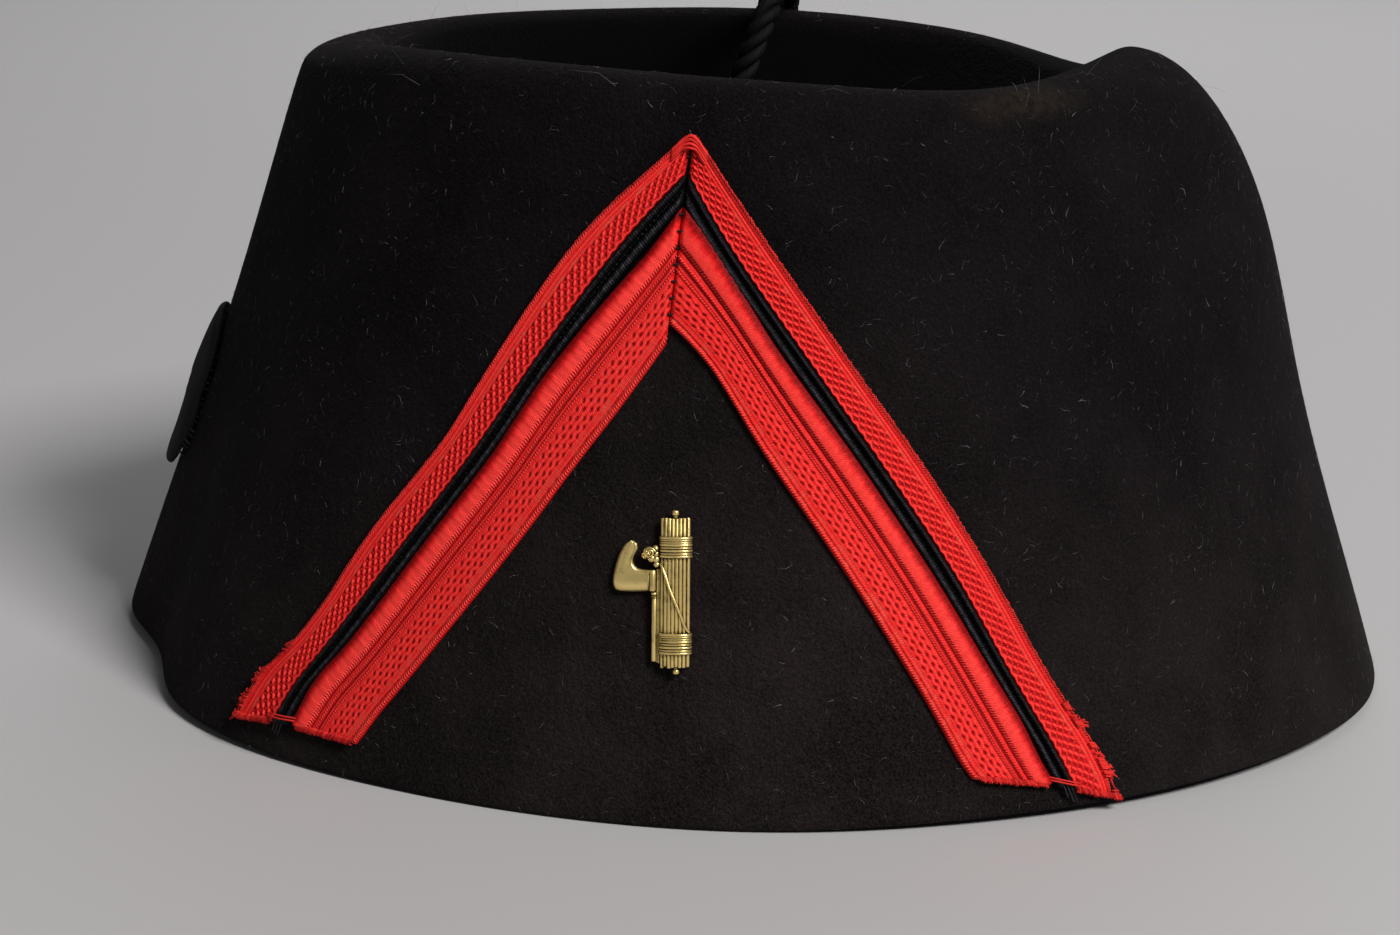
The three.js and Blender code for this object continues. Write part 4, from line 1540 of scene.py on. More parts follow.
    def _stitch_seam(self, run: BandRun, lace: str, pitch: float) -> None:
        """Sews small slanted stitches down the mitred seam, each sunk at both ends.

        Args:
            run: The lace's back arm, whose first row is the seam.
            lace: The lace's name.
            pitch: How far apart the stitches lie.
        """
        start, end, normal = run.outer[0], run.inner[0], run.normal[0]
        length = np.linalg.norm(end - start)
        down = (end - start) / length
        aside = unit(np.cross(normal, down))
        depsgraph = bpy.context.evaluated_depsgraph_get()
        trees = [BVHTree.FromObject(self.bands[f"{lace}_{arm.value}"], depsgraph) for arm in Arm]
        steps = ((-0.36, 0.12, -0.12), (-0.26, 0.09, 0.08), (0.26, -0.09, 0.08), (0.36, -0.12, -0.12))
        above, reach = 6 * MM, 9 * MM
        for at in np.arange(0.5 * pitch, length, pitch):
            rows = []
            for step, slip, lift in steps:
                spot = start + down * (at + slip * MM) + aside * step * MM
                origin = Vector(spot + normal * above)
                hits = [tree.ray_cast(origin, Vector(-normal), reach)[0] for tree in trees]
                places = [np.array(h) for h in hits if h is not None]
                if places:
                    rows.append(max(places, key=lambda p: (p - start) @ normal) + normal * lift * MM)
            if len(rows) == len(steps):
                self.black.add(smooth_path(rows, 10), 0.17 * MM, 0.1)


# ---- nap and lint


@dataclass
class Nap:
    """The felt's nap: dark hairs that soften its outline, and pale lint lying on it."""

    crown: bpy.types.Object
    hairs: int = 4000
    lint: int = 9500
    strays: int = 40
    well_reach: float = 59.5 * MM
    crest_above: float = 95 * MM
    hem_below: float = 2 * MM

    def build(self) -> None:
        """Scatters the three kinds of hair."""
        rng = np.random.default_rng(7)
        dark = ThreadFinish("felt_hair", (0.003, 0.003, 0.0035), (0.016, 0.015, 0.019), roughness=0.9)
        pale = ThreadFinish("lint", (0.030, 0.028, 0.033), (0.36, 0.35, 0.38), roughness=0.8)
        hairs, lint = ThreadBundle(), ThreadBundle()
        for place, normal in self._spots(rng, self.hairs):
            self._hair(hairs, rng, place, normal, rng.uniform(0.35, 1.0), 0.6, 0.014, rng.random())
        for place, normal in self._spots(rng, self.lint):
            length, radius = rng.uniform(0.4, 1.6), rng.uniform(0.012, 0.024)
            self._hair(lint, rng, place, normal, length, 0.12, radius, 0.12 + 0.88 * rng.random() ** 6)
        for place, normal in self._spots(rng, self.strays, edges_only=True):
            self._hair(lint, rng, place, normal, rng.uniform(1.5, 4.5), 0.9, 0.016, rng.uniform(0.1, 0.7))
        hairs.build("felt_hairs", dark.build())
        lint.build("felt_lint", pale.build())

    def _spots(
        self, rng: np.random.Generator, count: int, edges_only: bool = False
    ) -> Iterable[tuple[np.ndarray, np.ndarray]]:
        """Picks even random places on the outside of the felt.

        Args:
            rng: Where the random numbers come from.
            count: How many places are wanted.
            edges_only: Whether they keep to the crest and the hem.

        Returns:
            Pairs of a place and the felt's outward normal there.
        """
        smooth = self.crown.evaluated_get(bpy.context.evaluated_depsgraph_get()).to_mesh()
        smooth.calc_loop_triangles()
        points = np.empty(len(smooth.vertices) * 3)
        smooth.vertices.foreach_get("co", points)
        corners = np.empty(len(smooth.loop_triangles) * 3, int)
        smooth.loop_triangles.foreach_get("vertices", corners)
        a, b, c = points.reshape(-1, 3)[corners.reshape(-1, 3).T]
        cross = np.cross(b - a, c - a)
        area = np.linalg.norm(cross, axis=1)
        middle = (a + b + c) / 3
        inward = np.einsum("ij,ij->i", cross, middle * (1, 1, 0)) < 0
        well = np.hypot(middle[:, 0], middle[:, 1]) < self.well_reach
        hidden = (inward & (middle[:, 2] < 90 * MM)) | (cross[:, 2] < -0.3 * area) | well
        if edges_only:
            hidden |= (middle[:, 2] > self.hem_below) & (middle[:, 2] < self.crest_above)
        weight = np.where(hidden, 0.0, area)
        picked = rng.choice(len(area), count, p=weight / weight.sum())
        u, v = rng.random((2, count, 1))
        u, v = np.where(u + v > 1, 1 - u, u), np.where(u + v > 1, 1 - v, v)
        places = a[picked] + u * (b - a)[picked] + v * (c - a)[picked]
        return zip(places, unit(cross[picked]))

    @staticmethod
    def _hair(
        bundle: ThreadBundle,
        rng: np.random.Generator,
        place: np.ndarray,
        normal: np.ndarray,
        length: float,
        lift: float,
        radius: float,
        tone: float,
    ) -> None:
        """Adds one bent hair rooted in the felt, its length and radius in millimetres.

        Args:
            bundle: The hairs so far.
            rng: Where the random numbers come from.
            place: Where it is rooted.
            normal: The felt's outward normal there.
            length: How long it is.
            lift: How far it stands up, as a share of its length.
            radius: Its radius.
            tone: Its tone from 0 to 1.
        """
        level = unit(np.cross(normal, rng.normal(size=3)))
        bend = np.cross(normal, level) * rng.normal() * 0.6
        share = np.array([0, 0.55, 1.0])[:, None]
        way = level * share + bend * share**2 + normal * lift * (share - 0.35 * share**2)
        path = place - normal * 0.04 * MM + way * length * MM
        if path[:, 2].min() > (radius + 0.02) * MM:
            bundle.add(path, np.array([1.0, 0.85, 0.3]) * radius * MM, tone)


# ---- the brass pin


@dataclass(frozen=True)
class BrassFinish:
    """Stamped brass, polished on its crests, with a brown film low in its grooves."""

    name: str = "brass"
    bright: Colour = (1.0, 0.76, 0.29)
    film: Colour = (0.085, 0.055, 0.010)
    groove: float = 0.7 * MM

    def build(self) -> bpy.types.Material:
        """Returns the material."""
        tree = ShaderTree(self.name)
        point = tree.object_point()
        patches = tree.noise(point, 650.0, 3.0, 0.6)
        grain = tree.noise(point, 9000.0, 2.0)
        shelter = tree.node("ShaderNodeAmbientOcclusion", {"samples": 6}, {"Distance": self.groove})
        open_sky = Value(tree, shelter.outputs["AO"])
        film = ((1 - open_sky) * 2.7 + patches.ramp(0.46, 0.72) * 0.6 - 0.22).clamped()
        colour = tree.mixed(film, self.bright, self.film)
        tree.relief(grain * 0.4 + patches * 0.6, 0.03 * MM)
        return tree.finish(Base_Color=colour, Metallic=0.82, Roughness=film * 0.25 + 0.29)


@dataclass
class Pin:
    """The brass pin: rods bound by two bands, with an axe at their side.

    Its own frame has x towards the wearer's back, y up the wall and z out of it, in
    millimetres, on the pin's post. Its back lies at base, and its bundle arches by depth.
    """

    finish: BrassFinish
    half_width: float = 2.0
    depth: float = 1.45
    top: float = 10.2
    bottom: float = -10.4
    rods: int = 8
    rod_radius: float = 0.285
    base: float = 0.35
    fall: float = 0.8
    band_middles: tuple[float, float] = (6.2, -7.15)
    blade_rows: int = 48
    blade_columns: int = 14

    def build(self) -> None:
        """Makes the pin's pieces, which stand for the CAD's badge, and dresses its post."""
        material = self.finish.build()
        matrix = self._place()
        makers = {"pin_rods": self._lay_rods, "pin_axe": self._cut_axe, "pin_fittings": self._fit}
        for name, make in makers.items():
            bm = bmesh.new()
            make(bm)
            bmesh.ops.recalc_face_normals(bm, faces=bm.faces)
            bmesh.ops.transform(bm, matrix=matrix, verts=bm.verts)
            self._declare(piece_from(bm, name, material))
        bands = ThreadBundle(8)
        self._bind(bands)
        self._declare(bands.build("pin_bindings", material, matrix))
        dress_node("badge_post", material)

    @staticmethod
    def _declare(piece: bpy.types.Object) -> None:
        """Hides the CAD's badge, which the piece stands for."""
        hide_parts("badge")

    @staticmethod
    def _place() -> Matrix:
        """Reads the pin's frame from the CAD's post and badge.

        Returns:
            The matrix from the pin's millimetres to the model.
        """
        post = np.array([v.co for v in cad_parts["badge_post"].data.vertices])
        normal = np.linalg.svd(post - post.mean(0))[2][2]
        normal = normal * np.sign(normal[0])
        reach = post @ normal
        head = post[reach > reach.max() - 0.05 * MM].mean(0)
        bm = node_mesh("badge")
        longest = max(bm.edges, key=lambda e: e.calc_length())
        up = longest.verts[1].co - longest.verts[0].co
        bm.free()
        z = Vector(normal)
        y = (up - z * up.dot(z)).normalized() * (1 if up.z > 0 else -1)
        turn = Matrix((y.cross(z), y, z)).transposed().to_4x4()
        return Matrix.Translation(Vector(head)) @ turn @ Matrix.Scale(MM, 4)

    def _arch(self, x: float) -> float:
        """Returns how high the bundle stands over the pin's back at x."""
        return self.depth * math.sqrt(max(0.05, 1 - self.fall * (x / self.half_width) ** 2))

    @staticmethod
    def _rod(bm: BMesh, x: float, z: float, low: float, high: float, radius: float) -> None:
        """Adds an upright round rod with rounded ends.

        Args:
            bm: The mesh in the making.
            x: The rod's place across the pin.
            z: Its middle's height off the wall.
            low: Its lower end.
            high: Its upper end.
            radius: Its radius.
        """
        turn = Matrix.Rotation(math.pi / 2, 4, "X")
        place = Matrix.Translation((x, (low + high) / 2, z)) @ turn
        made = bmesh.ops.create_cone(
            bm, cap_ends=True, segments=14, radius1=radius, radius2=radius, depth=high - low, matrix=place
        )
        edges = {e for v in made["verts"] for e in v.link_edges}
        rims = [e for e in edges if abs(e.verts[0].co.y - e.verts[1].co.y) < 1e-4]
        bmesh.ops.bevel(
            bm, geom=rims, offset=radius * 0.4, offset_type="OFFSET", affect="EDGES",
            segments=2, profile=0.5, material=-1,
        )

    def _lay_rods(self, bm: BMesh) -> None:
        """Lays the rods side by side over an arched back, each ending a little differently.

        Args:
            bm: The mesh in the making.
        """
        rng = np.random.default_rng(3)
        spacing = 2 * self.half_width / self.rods
        for i in range(self.rods):
            x = -self.half_width + (i + 0.5) * spacing
            z = self.base + self._arch(x) - self.rod_radius
            low, high = rng.uniform(-0.16, 0.16, 2)
            self._rod(bm, x, z, self.bottom + low, self.top + high / 2, self.rod_radius)
            self._rod(bm, x, z * 0.5, self.bottom + 0.3, self.top - 0.3, 0.25)
        thin_rods = ((-2.22, 0.35, -9.9, 3.2, 0.2), (-2.5, 0.25, -9.8, 3.1, 0.22))
        haft = (-2.92, 0.38, -9.7, -0.9, 0.36)
        for x, z, low, high, radius in (*thin_rods, haft):
            self._rod(bm, x, self.base + z, low, high, radius)

    def _cut_axe(self, bm: BMesh) -> None:
        """Draws the crescent blade from its cutting edge to its inner rim, and gives it a flat back.

        Args:
            bm: The mesh in the making.
        """
        outer = np.array([
            (-6.30, 6.95), (-7.15, 6.35), (-7.90, 5.0), (-8.45, 3.2), (-8.72, 1.6), (-8.6, 0.55),
            (-8.0, 0.0), (-6.2, -0.1), (-3.55, 0.0),
        ])
        inner = np.array([
            (-5.95, 6.98), (-5.42, 6.5), (-5.35, 5.8), (-5.78, 5.0), (-5.98, 4.3), (-5.8, 3.65),
            (-5.3, 3.15), (-4.5, 2.95), (-3.5, 2.9),
        ])
        rows = self.blade_rows
        left, right = smooth_path(outer, rows + 1), smooth_path(inner, rows + 1)
        bmesh.ops.create_grid(bm, x_segments=self.blade_columns, y_segments=rows, size=0.5)
        for v in bm.verts:
            i, share = round((v.co.y + 0.5) * rows), v.co.x + 0.5
            x, y = left[i] * (1 - share) + right[i] * share
            rise = 0.12 + 0.34 * min(1, share / 0.16) + 0.22 * math.sin(math.pi * share)
            rim = 0.16 * max(0, 1 - abs(share - 0.93) / 0.08)
            v.co = (x, y, self.base + rise + rim - 0.3 * max(0, share - 0.95) / 0.05)
        for v in drawn_rim(bm):
            v.co.z = self.base
        bmesh.ops.holes_fill(bm, edges=[e for e in bm.edges if e.is_boundary], sides=0)

    def _fit(self, bm: BMesh) -> None:
        """Adds the axe's socket and collar, the finials and the knobs at its neck.

        Args:
            bm: The mesh in the making.
        """
        for x, z, low, high, radius in (
            (-3.15, 0.45, 0.0, 2.95, 0.46), (-2.95, 0.42, -0.95, -0.62, 0.46),
            (-2.95, 0.42, -0.58, -0.1, 0.42), (0.0, 0.75, 10.0, 10.7, 0.3), (0.0, 0.75, 10.5, 11.25, 0.48),
            (0.2, 0.75, -10.9, -10.2, 0.28), (0.2, 0.75, -11.35, -10.7, 0.44),
        ):
            self._rod(bm, x, self.base + z, low, high, radius)
        for x, y, z, radius in (
            (-3.65, 5.35, 0.55, 0.84), (-4.25, 4.95, 0.4, 0.5), (-3.3, 4.6, 0.45, 0.6),
            (-2.75, 5.9, 0.5, 0.5), (-2.7, 5.2, 0.55, 0.5), (-2.65, 4.45, 0.5, 0.52),
            (-2.6, 3.75, 0.45, 0.45), (-3.95, 5.55, 1.2, 0.2),
        ):
            place = Matrix.Translation((x, y, self.base + z))
            bmesh.ops.create_icosphere(bm, subdivisions=3, radius=radius, matrix=place)

    def _bind(self, bands: ThreadBundle) -> None:
        """Wraps both bands, of four strong ridges with thin ones between, and lays the strap and the horn.

        Args:
            bands: The threads of brass so far.
        """
        arc = np.linspace(0, math.pi, 25)
        left, right = -self.half_width - 0.12, self.half_width + 0.12
        across = (left + right) / 2 - np.cos(arc) * (right - left) / 2
        height = self.base + (self.depth + 0.08) * np.sin(arc) ** 0.6
        strong, thin = (-1.28, -0.5, 0.3, 1.24), (-0.92, -0.1, 0.62, 0.93)
        for centre in self.band_middles:
            for steps, radius in ((strong, 0.21), (thin, 0.15)):
                for step in steps:
                    level = np.full_like(arc, centre + step)
                    bands.add(np.stack([across, level, height], axis=1), radius)
        strap = (
            (-2.7, 4.3), (-2.0, 3.75), (-1.35, 2.4), (-0.75, 0.6),
            (0.1, -1.4), (0.9, -3.3), (1.5, -4.9), (2.0, -5.6),
        )
        line = smooth_path(strap, 40)
        lift = [self.base + self._arch(x) + 0.03 for x, _ in line]
        bands.add(np.column_stack([line, lift]), 0.2)
        curl = np.linspace(0, 3.6 * math.pi, 44)
        reach = 0.68 - 0.045 * curl
        horn = [-3.45 + np.cos(curl) * reach, 5.4 + np.sin(curl) * reach, self.base + 1.05 + 0.035 * curl]
        bands.add(np.stack(horn, axis=1), 0.15)


# ---- the patch and the stem


@dataclass(frozen=True)
class ClothFinish:
    """Black cotton cloth in a fine plain weave."""

    name: str = "patch_cloth"
    dark: Colour = (0.0022, 0.0020, 0.0025)
    light: Colour = (0.010, 0.0095, 0.011)
    thread: float = 0.42 * MM

    def build(self) -> bpy.types.Material:
        """Returns the material."""
        tree = ShaderTree(self.name)
        point = tree.object_point()
        x, _, z = tree.axes(point)
        turn = 2 * math.pi / self.thread
        weave = ((x * turn).sine() * (z * turn).sine()) * 0.5 + 0.5
        cloud = tree.noise(point, 260.0, 3.0, 0.6)
        colour = tree.mixed((weave * 0.5 + cloud * 0.7 - 0.1).clamped(), self.dark, self.light)
        tree.relief(weave * 0.5 + cloud, 0.18 * MM)
        return tree.finish(Base_Color=colour, Roughness=0.85, Specular_IOR_Level=0.2)


@dataclass
class FrontPatch:
    """The padded cloth patch on the front, sewn round its edge; its padding lies in waves."""

    wall: FeltWall
    cloth: ClothFinish
    thread: ThreadFinish
    stitches: int = 64
    fill: float = 0.7
    waves: tuple[float, float] = (420.0, 330.0)
    swell: float = 0.22
    crumple: float = 0.03

    def build(self) -> None:
        """Makes the pad and its stitches."""
        bm = node_mesh("front_patch")
        middle = sum((v.co for v in bm.verts), Vector()) / len(bm.verts)
        bmesh.ops.recalc_face_normals(bm, faces=bm.faces)
        bmesh.ops.join_triangles(
            bm, faces=bm.faces, angle_face_threshold=0.9, angle_shape_threshold=1.2, cmp_seam=False
        )
        bmesh.ops.subdivide_edges(bm, edges=bm.edges, cuts=1, use_grid_fill=True, smooth=0.6)
        rng = np.random.default_rng(11)
        for v in bm.verts:
            across, up = (v.co.x - middle.x) * self.waves[0], (v.co.z - middle.z) * self.waves[1]
            wave = math.sin(across + 1.0) * math.sin(up)
            v.co += v.normal * (self.swell * wave + rng.normal() * self.crumple) * MM
        pad = piece_from(bm, "front_patch_pad", self.cloth.build())
        smooth = pad.modifiers.new("smooth", "SUBSURF")
        smooth.levels = smooth.render_levels = 2
        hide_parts("front_patch")
        self._sew(middle)

    def _sew(self, middle: Vector) -> None:
        """Runs a whipped stitch round the patch's edge.

        Args:
            middle: The patch's middle.
        """
        bm = node_mesh("front_patch")
        low = [v.co.copy() for v in bm.verts if self.wall.clearance(np.array([v.co]))[0] < 0.6 * MM]
        bm.free()
        angle = np.array([math.atan2(p.z - middle.z, p.x - middle.x) for p in low])
        reach = np.array([math.hypot(p.z - middle.z, p.x - middle.x) for p in low])
        spokes = np.linspace(-math.pi, math.pi, self.stitches, endpoint=False)
        edge = []
        for spoke in spokes:
            near = np.abs((angle - spoke + math.pi) % (2 * math.pi) - math.pi) < 0.12
            edge.append(reach[near].max() if near.any() else np.nan)
        known = ~np.isnan(edge)
        edge = np.interp(spokes, spokes[known], np.array(edge)[known])
        threads = ThreadBundle(6)
        for spoke, out in zip(spokes, edge):
            way = np.array([math.cos(spoke), 0.0, math.sin(spoke)])
            rows = []
            for share, lift in ((1.05, 0.05), (1.03, 0.5), (0.97, 1.25), (0.90, 1.75), (0.86, 1.6)):
                guess = np.array(middle) + way * out * share
                place, normal, _, _ = self.wall.tree.find_nearest(Vector(guess))
                rows.append(np.array(place + normal * lift * MM))
            threads.add(smooth_path(rows, 9), 0.2 * MM)
        sewn = threads.build("front_patch_stitches", self.thread.build())


@dataclass
class CrownStem:
    """The short stem of gathered felt out of which the cord comes.

    Its rings give its radius and height in millimetres, before its folds are gathered.
    """

    finish: FeltFinish
    folds: int = 7
    steps: int = 84
    rings: tuple[tuple[float, float], ...] = (
        (0.0, 0.3), (5.9, 0.0), (6.5, 0.35), (6.2, 0.9), (5.2, 1.7), (4.3, 2.9), (3.7, 4.3), (3.2, 6.2),
        (2.95, 8.5), (2.75, 11.0), (2.75, 13.0), (2.55, 13.7), (2.1, 14.0), (0.0, 13.9),
    )

    def build(self) -> None:
        """Spins the stem and gathers it in folds that flare at its foot."""
        low, high = (Vector(corner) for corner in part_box("crown_stem"))
        axis = (low + high) / 2
        bm = bmesh.new()
        profile = [bm.verts.new((axis.x + r * MM, axis.y, low.z + h * MM)) for r, h in self.rings]
        edges = [bm.edges.new(pair) for pair in zip(profile, profile[1:])]
        bmesh.ops.spin(
            bm, geom=profile + edges, cent=(axis.x, axis.y, 0), axis=(0, 0, 1), angle=2 * math.pi,
            steps=self.steps, use_merge=True, use_duplicate=False,
        )
        bmesh.ops.remove_doubles(bm, verts=bm.verts, dist=MERGE_DISTANCE)
        height = high.z - low.z
        for v in bm.verts:
            x, y = v.co.x - axis.x, v.co.y - axis.y
            turn, share = math.atan2(y, x), (v.co.z - low.z) / height
            depth = 0.15 * (1 - share) ** 1.2 + 0.05
            gather = math.sin(self.folds * turn + 2.2 * share) + 0.5 * math.sin(3 * turn + 1)
            scale = 1 - depth * (0.6 + 0.4 * gather)
            v.co.x, v.co.y = axis.x + x * scale, axis.y + y * scale
        bmesh.ops.recalc_face_normals(bm, faces=bm.faces)
        stem = piece_from(bm, "gathered_stem", self.finish.build())
        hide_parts("crown_stem")


# ---- cord and tassel


@dataclass
class TasselCord:
    """The tassel's twisted cord on its resting route, in millimetres."""

    finish: ThreadFinish
    diameter: float = 4.0
    strand_radius: float = 0.95
    strands: int = 3
    pitch: float = 9.5
    step: float = 0.6
    length: float = 211.0
    route: tuple[Place, ...] = (
        (0, -4, 88.9), (0, -3.6, 91), (-0.3, -1.6, 97), (-1.6, 0.2, 102.2), (-5.2, 1.6, 106.2),
        (-12, 2.2, 108.4), (-22, 2.5, 108.6), (-34, 2.7, 106.8), (-46, 2.8, 103.8),
        (-56, 2.8, 101.2), (-63, 2.7, 99.4), (-68.2, 2.4, 95.7), (-70.6, 1.9, 88),
        (-73.2, 0.8, 77), (-76.2, -0.8, 64), (-79.4, -2.8, 50), (-82.6, -5, 36),
        (-85.6, -7.2, 23), (-88, -9, 12.6), (-90.6, -10.2, 6), (-95, -10, 2.9),
        (-100, -6.6, 2.2), (-102.4, 0, 2.9), (-102.5, 7, 4.6), (-102, 13, 5),
    )

    def line(self) -> np.ndarray:
        """Draws the cord's middle line on a centripetal curve through its route.

        Returns:
            Its points, in even steps.
        """
        points = np.array(self.route, float) * MM
        points = np.vstack([2 * points[0] - points[1], points, 2 * points[-1] - points[-2]])
        gaps = np.sqrt(np.linalg.norm(np.diff(points, axis=0), axis=1))
        fine = []
        t = np.linspace(0, 1, 24, endpoint=False)[:, None]
        for k in range(1, len(points) - 2):
            (p0, p1, p2, p3), (d0, d1, d2) = points[k - 1 : k + 3], gaps[k - 1 : k + 2]
            m1 = ((p1 - p0) / d0 - (p2 - p0) / (d0 + d1) + (p2 - p1) / d1) * d1
            m2 = ((p2 - p1) / d1 - (p3 - p1) / (d1 + d2) + (p3 - p2) / d2) * d1
            curve = (2 * t**3 - 3 * t**2 + 1) * p1 + (t**3 - 2 * t**2 + t) * m1
            fine.append(curve + (3 * t**2 - 2 * t**3) * p2 + (t**3 - t**2) * m2)
        fine = np.vstack([*fine, points[-2:-1]])
        length = distances(fine)
        even = np.linspace(0, length[-1], round(length[-1] / (self.step * MM)) + 1)
        return np.stack([np.interp(even, length, fine[:, k]) for k in range(3)], axis=1)

    def build(self) -> bpy.types.Object:
        """Twists the strands round the route, drawn together at both ends.

        Returns:
            The finished cord.
        """
        line = self.line()
        tangents = unit(np.gradient(line, axis=0))
        side = carried_side(line)
        rise = np.cross(tangents, side)
        along = np.arange(len(line)) * self.step
        bundle = ThreadBundle(10)
        orbit = (self.diameter / 2 - self.strand_radius) * MM
        ends = np.minimum(1, np.minimum(along, along[::-1]) / 2.0 + 0.55)
        for k in range(self.strands):
            turn = 2 * math.pi * (along / self.pitch + k / self.strands)
            out = np.cos(turn)[:, None] * side + np.sin(turn)[:, None] * rise
            bundle.add(line + out * orbit * ends[:, None], self.strand_radius * MM * ends**0.3, 0.5, out)
        return bundle.build("tassel_cord", self.finish.build())


@dataclass
class Tassel:
    """The tassel on the cord's end: a wound head, a bound neck and a skirt of threads.

    Its lengths are in millimetres and its heading is in degrees from +X.
    """

    finish: ThreadFinish
    end: Place = (-102.0, 13.0, 5.0)
    heading: float = 85.0
    head_length: float = 12.0
    head_radius: float = 5.3
    neck_radius: float = 3.3
    cord_radius: float = 2.0
    skirt_length: float = 59.0
    skirt_threads: int = 330
    thread_radius: float = 0.42
    head_threads: int = 52
    neck_turns: int = 5
    bound_radius: float = 4.1

    def build(self) -> list[bpy.types.Object]:
        """Makes the tassel's pieces.

        Returns:
            The pieces, in order from the cord.
        """
        material = self.finish.build()
        head = self._wind_head().build("tassel_head", material)
        core = self._core(material)
        neck = self._bind_neck().build("tassel_neck", material)
        skirt = self._hang_skirt().build("tassel_skirt", material)
        for piece in (head, core):
            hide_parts("tassel_knot")
        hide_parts("tassel_fringe")
        return [head, core, neck, skirt]

    def _world(self, along: np.ndarray, side: np.ndarray, height: np.ndarray) -> np.ndarray:
        """Turns the tassel's own millimetres into places.

        Args:
            along: How far along the tassel.
            side: How far to its side.
            height: How high above the surface.

        Returns:
            The places in the model.
        """
        turn = math.radians(self.heading)
        way = np.array([math.cos(turn), math.sin(turn), 0.0])
        aside = np.array([way[1], -way[0], 0.0])
        start = np.array([self.end[0], self.end[1], 0.0])
        up = np.array([0.0, 0.0, 1.0])
        return (start + along[:, None] * way + side[:, None] * aside + height[:, None] * up) * MM

    def _head_radius(self, share: np.ndarray) -> np.ndarray:
        """Returns the head's radius along it, in millimetres."""
        ends = self.cord_radius + (self.neck_radius - self.cord_radius) * share
        return ends + (self.head_radius - self.neck_radius) * np.sin(math.pi * share) ** 0.8

    def _head_axis(self, share: np.ndarray) -> np.ndarray:
        """Returns the height of the head's middle line, in millimetres."""
        return 5.0 - 0.4 * share + np.sin(math.pi * share)

    def _wind_head(self) -> ThreadBundle:
        """Winds slanted threads over the head.

        Returns:
            The threads.
        """
        bundle = ThreadBundle(5)
        share = np.linspace(0, 1, 18)
        rng = np.random.default_rng(5)
        for k in range(self.head_threads):
            turn = 2 * math.pi * k / self.head_threads + 1.6 * share
            radius = self._head_radius(share) - 0.05
            low = np.minimum(radius, self._head_axis(share) - 0.35)
            height = self._head_axis(share) + np.sin(turn) * np.where(np.sin(turn) < 0, low, radius)
            path = self._world(0.2 + share * self.head_length, np.cos(turn) * radius, height)
            bundle.add(path, 0.30 * MM, rng.uniform(0.3, 0.7))
        return bundle

    def _core(self, material: bpy.types.Material) -> bpy.types.Object:
        """Draws the head's body under its threads, ring by ring.

        Args:
            material: The tassel's thread.

        Returns:
            The finished piece.
        """
        bm = bmesh.new()
        share = np.linspace(0, 1, 15)
        ring = bmesh.ops.create_circle(bm, segments=32, radius=1.0)["verts"]
        rings = [ring]
        for _ in share[1:]:
            edges = list({e for v in rings[-1] for e in v.link_edges if e.is_boundary or not e.link_faces})
            edges = [e for e in edges if all(v in rings[-1] for v in e.verts)]
            drawn = bmesh.ops.extrude_edge_only(bm, edges=edges)["geom"]
            rings.append([g for g in drawn if isinstance(g, BMVert)])
        for s, verts in zip(share, rings):
            radius = float(self._head_radius(np.array([s]))[0]) - 0.2
            axis = float(self._head_axis(np.array([s]))[0])
            for v in verts:
                turn = math.atan2(v.co.y, v.co.x)
                down = min(radius, axis - 0.3) if math.sin(turn) < 0 else radius
                spot = self._world(
                    np.array([0.3 + s * (self.head_length - 0.2)]),
                    np.array([math.cos(turn) * radius]),
                    np.array([axis + math.sin(turn) * down]),
                )
                v.co = spot[0]
        bmesh.ops.holes_fill(bm, edges=bm.edges, sides=0)
        bmesh.ops.recalc_face_normals(bm, faces=bm.faces)
        return piece_from(bm, "tassel_core", material)

    def _bind_neck(self) -> ThreadBundle:
        """Winds the neck with a tight thread.

        Returns:
            The thread.
        """
        bundle = ThreadBundle(6)
        turn = np.linspace(0, 2 * math.pi * self.neck_turns, self.neck_turns * 36)
        along = self.head_length + 0.2 + turn / (2 * math.pi) * 0.55
        radius = self.bound_radius + 0.25 * np.sin(turn * 0.1)
        height = np.maximum(4.35 + np.sin(turn) * radius, 0.4)
        bundle.add(self._world(along, np.cos(turn) * radius, height), 0.33 * MM, 0.6)
        return bundle

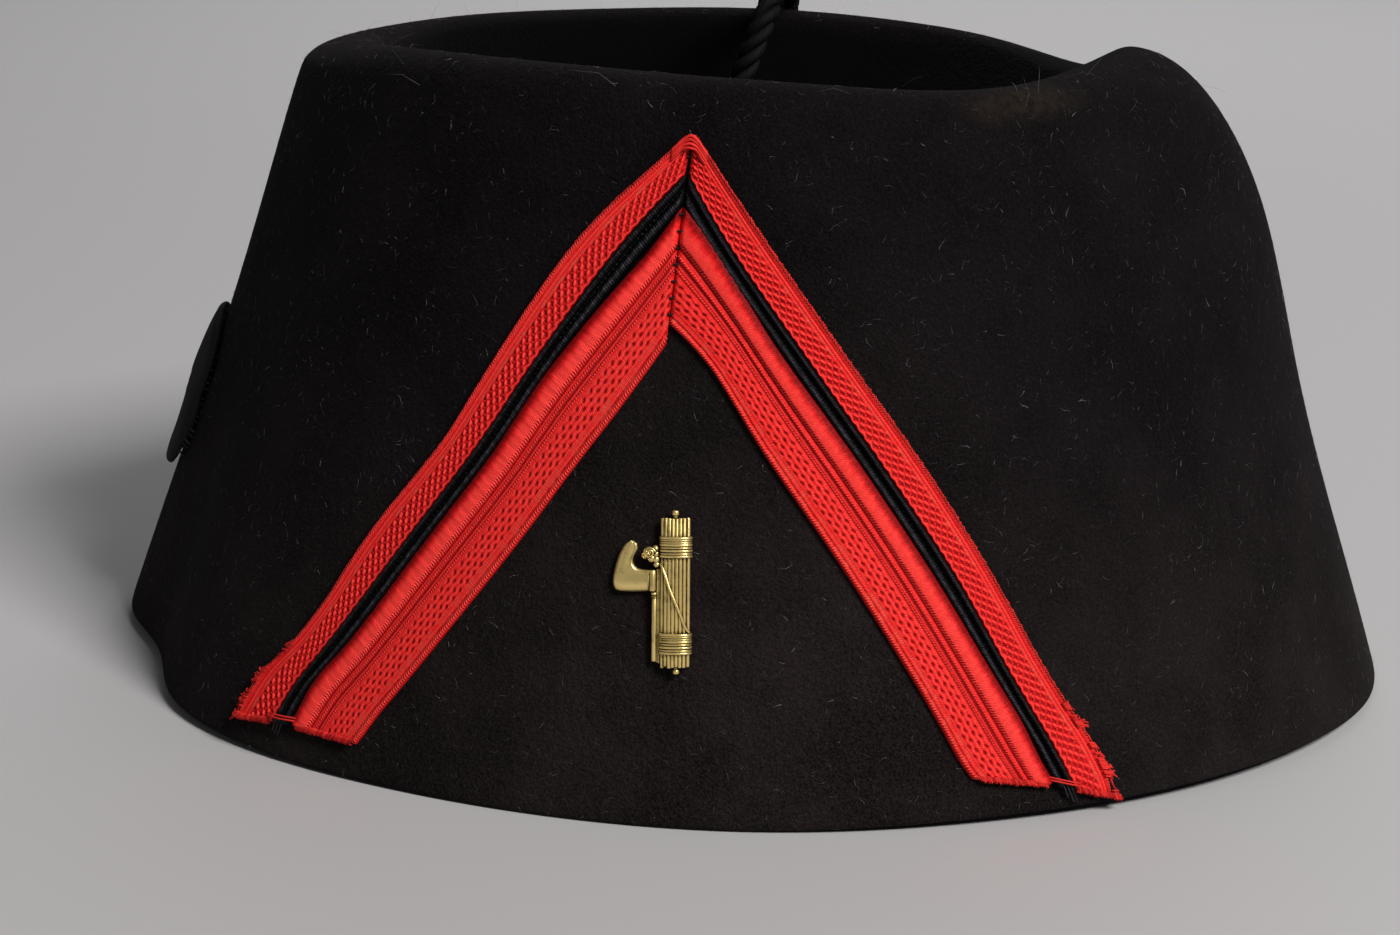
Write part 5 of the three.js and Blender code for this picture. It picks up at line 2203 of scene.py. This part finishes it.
    def _hang_skirt(self) -> ThreadBundle:
        """Lays the skirt's threads, which spread and settle along the surface.

        Returns:
            The threads.
        """
        bundle = ThreadBundle(5)
        rng = np.random.default_rng(9)
        shares = np.array([0.0, 0.08, 0.25, 0.5, 0.8, 1.0])
        half_width = np.array([3.9, 5.2, 7.0, 8.5, 9.9, 10.5])
        half_height = np.array([3.9, 4.5, 4.4, 4.0, 3.6, 3.1])
        rows = np.linspace(0, 1, 15)
        for _ in range(self.skirt_threads):
            spread, turn = math.sqrt(rng.uniform(0.12, 1)), rng.uniform(0, 2 * math.pi)
            share = rows * rng.uniform(0.93, 1.0)
            wide = np.interp(share, shares, half_width)
            tall = np.interp(share, shares, half_height)
            sway = 0.35 * np.sin(share * rng.uniform(5, 11) + rng.uniform(0, 6)) * share
            side = wide * spread * math.cos(turn) + sway
            height = tall * (1 + spread * math.sin(turn)) + 0.1 + 0.5 * sway
            height = np.maximum(height, self.thread_radius + 0.03)
            path = self._world(self.head_length + 0.9 + share * self.skirt_length, side, height)
            bundle.add(path, self.thread_radius * MM, rng.uniform(0.2, 0.8))
        return bundle


def main() -> None:
    """Builds the fez piece by piece."""
    logging.basicConfig(level=logging.INFO, format="%(name)s: %(message)s")
    bpy.context.scene.view_settings.view_transform = "Standard"
    studio = Studio()
    studio.place_camera()
    cord_finish = ThreadFinish(
        "black_cord", (0.0010, 0.0009, 0.0010), (0.0080, 0.0068, 0.0070),
        lay=0.62, slant=0.8, roughness=0.7, gloss=0.08,
    )
    cord = TasselCord(cord_finish)
    twisted = cord.build()
    tassel_finish = ThreadFinish(
        "tassel_thread", (0.0014, 0.0013, 0.0015), (0.0120, 0.0106, 0.0112),
        lay=0.3, slant=1.2, gloss=0.12,
    )
    on_cord = Tassel(tassel_finish).build()
    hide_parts("cord")
    tuple(v * MM for v in cord.route[0])
    cord.line().tolist()
    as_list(on_cord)
    LOG.info("cord and tassel laid")
    studio.lay_floor(FloorFinish())
    studio.light()
    felt = FeltFinish()
    crown = FeltCrown(felt).build()
    LOG.info("crown built")
    wall = FeltWall(crown)
    bands = Chevron(wall).build()
    TrimThreads(
        wall, bands,
        ThreadFinish("lace_thread", (0.24, 0.003, 0.004), (0.92, 0.040, 0.033), lay=0.3, gloss=0.1),
        ThreadFinish("seam_thread", (0.002, 0.002, 0.0025), (0.015, 0.014, 0.017), lay=0.3),
    ).build()
    LOG.info("trim sewn on")
    Pin(BrassFinish()).build()
    LOG.info("pin built")
    CrownStem(felt).build()
    patch_thread = ThreadFinish("patch_thread", (0.002, 0.002, 0.0025), (0.014, 0.013, 0.016), lay=0.3)
    FrontPatch(wall, ClothFinish(), patch_thread).build()
    LOG.info("stem and patch built")
    Nap(crown).build()


if __name__ == "__main__":
    main()
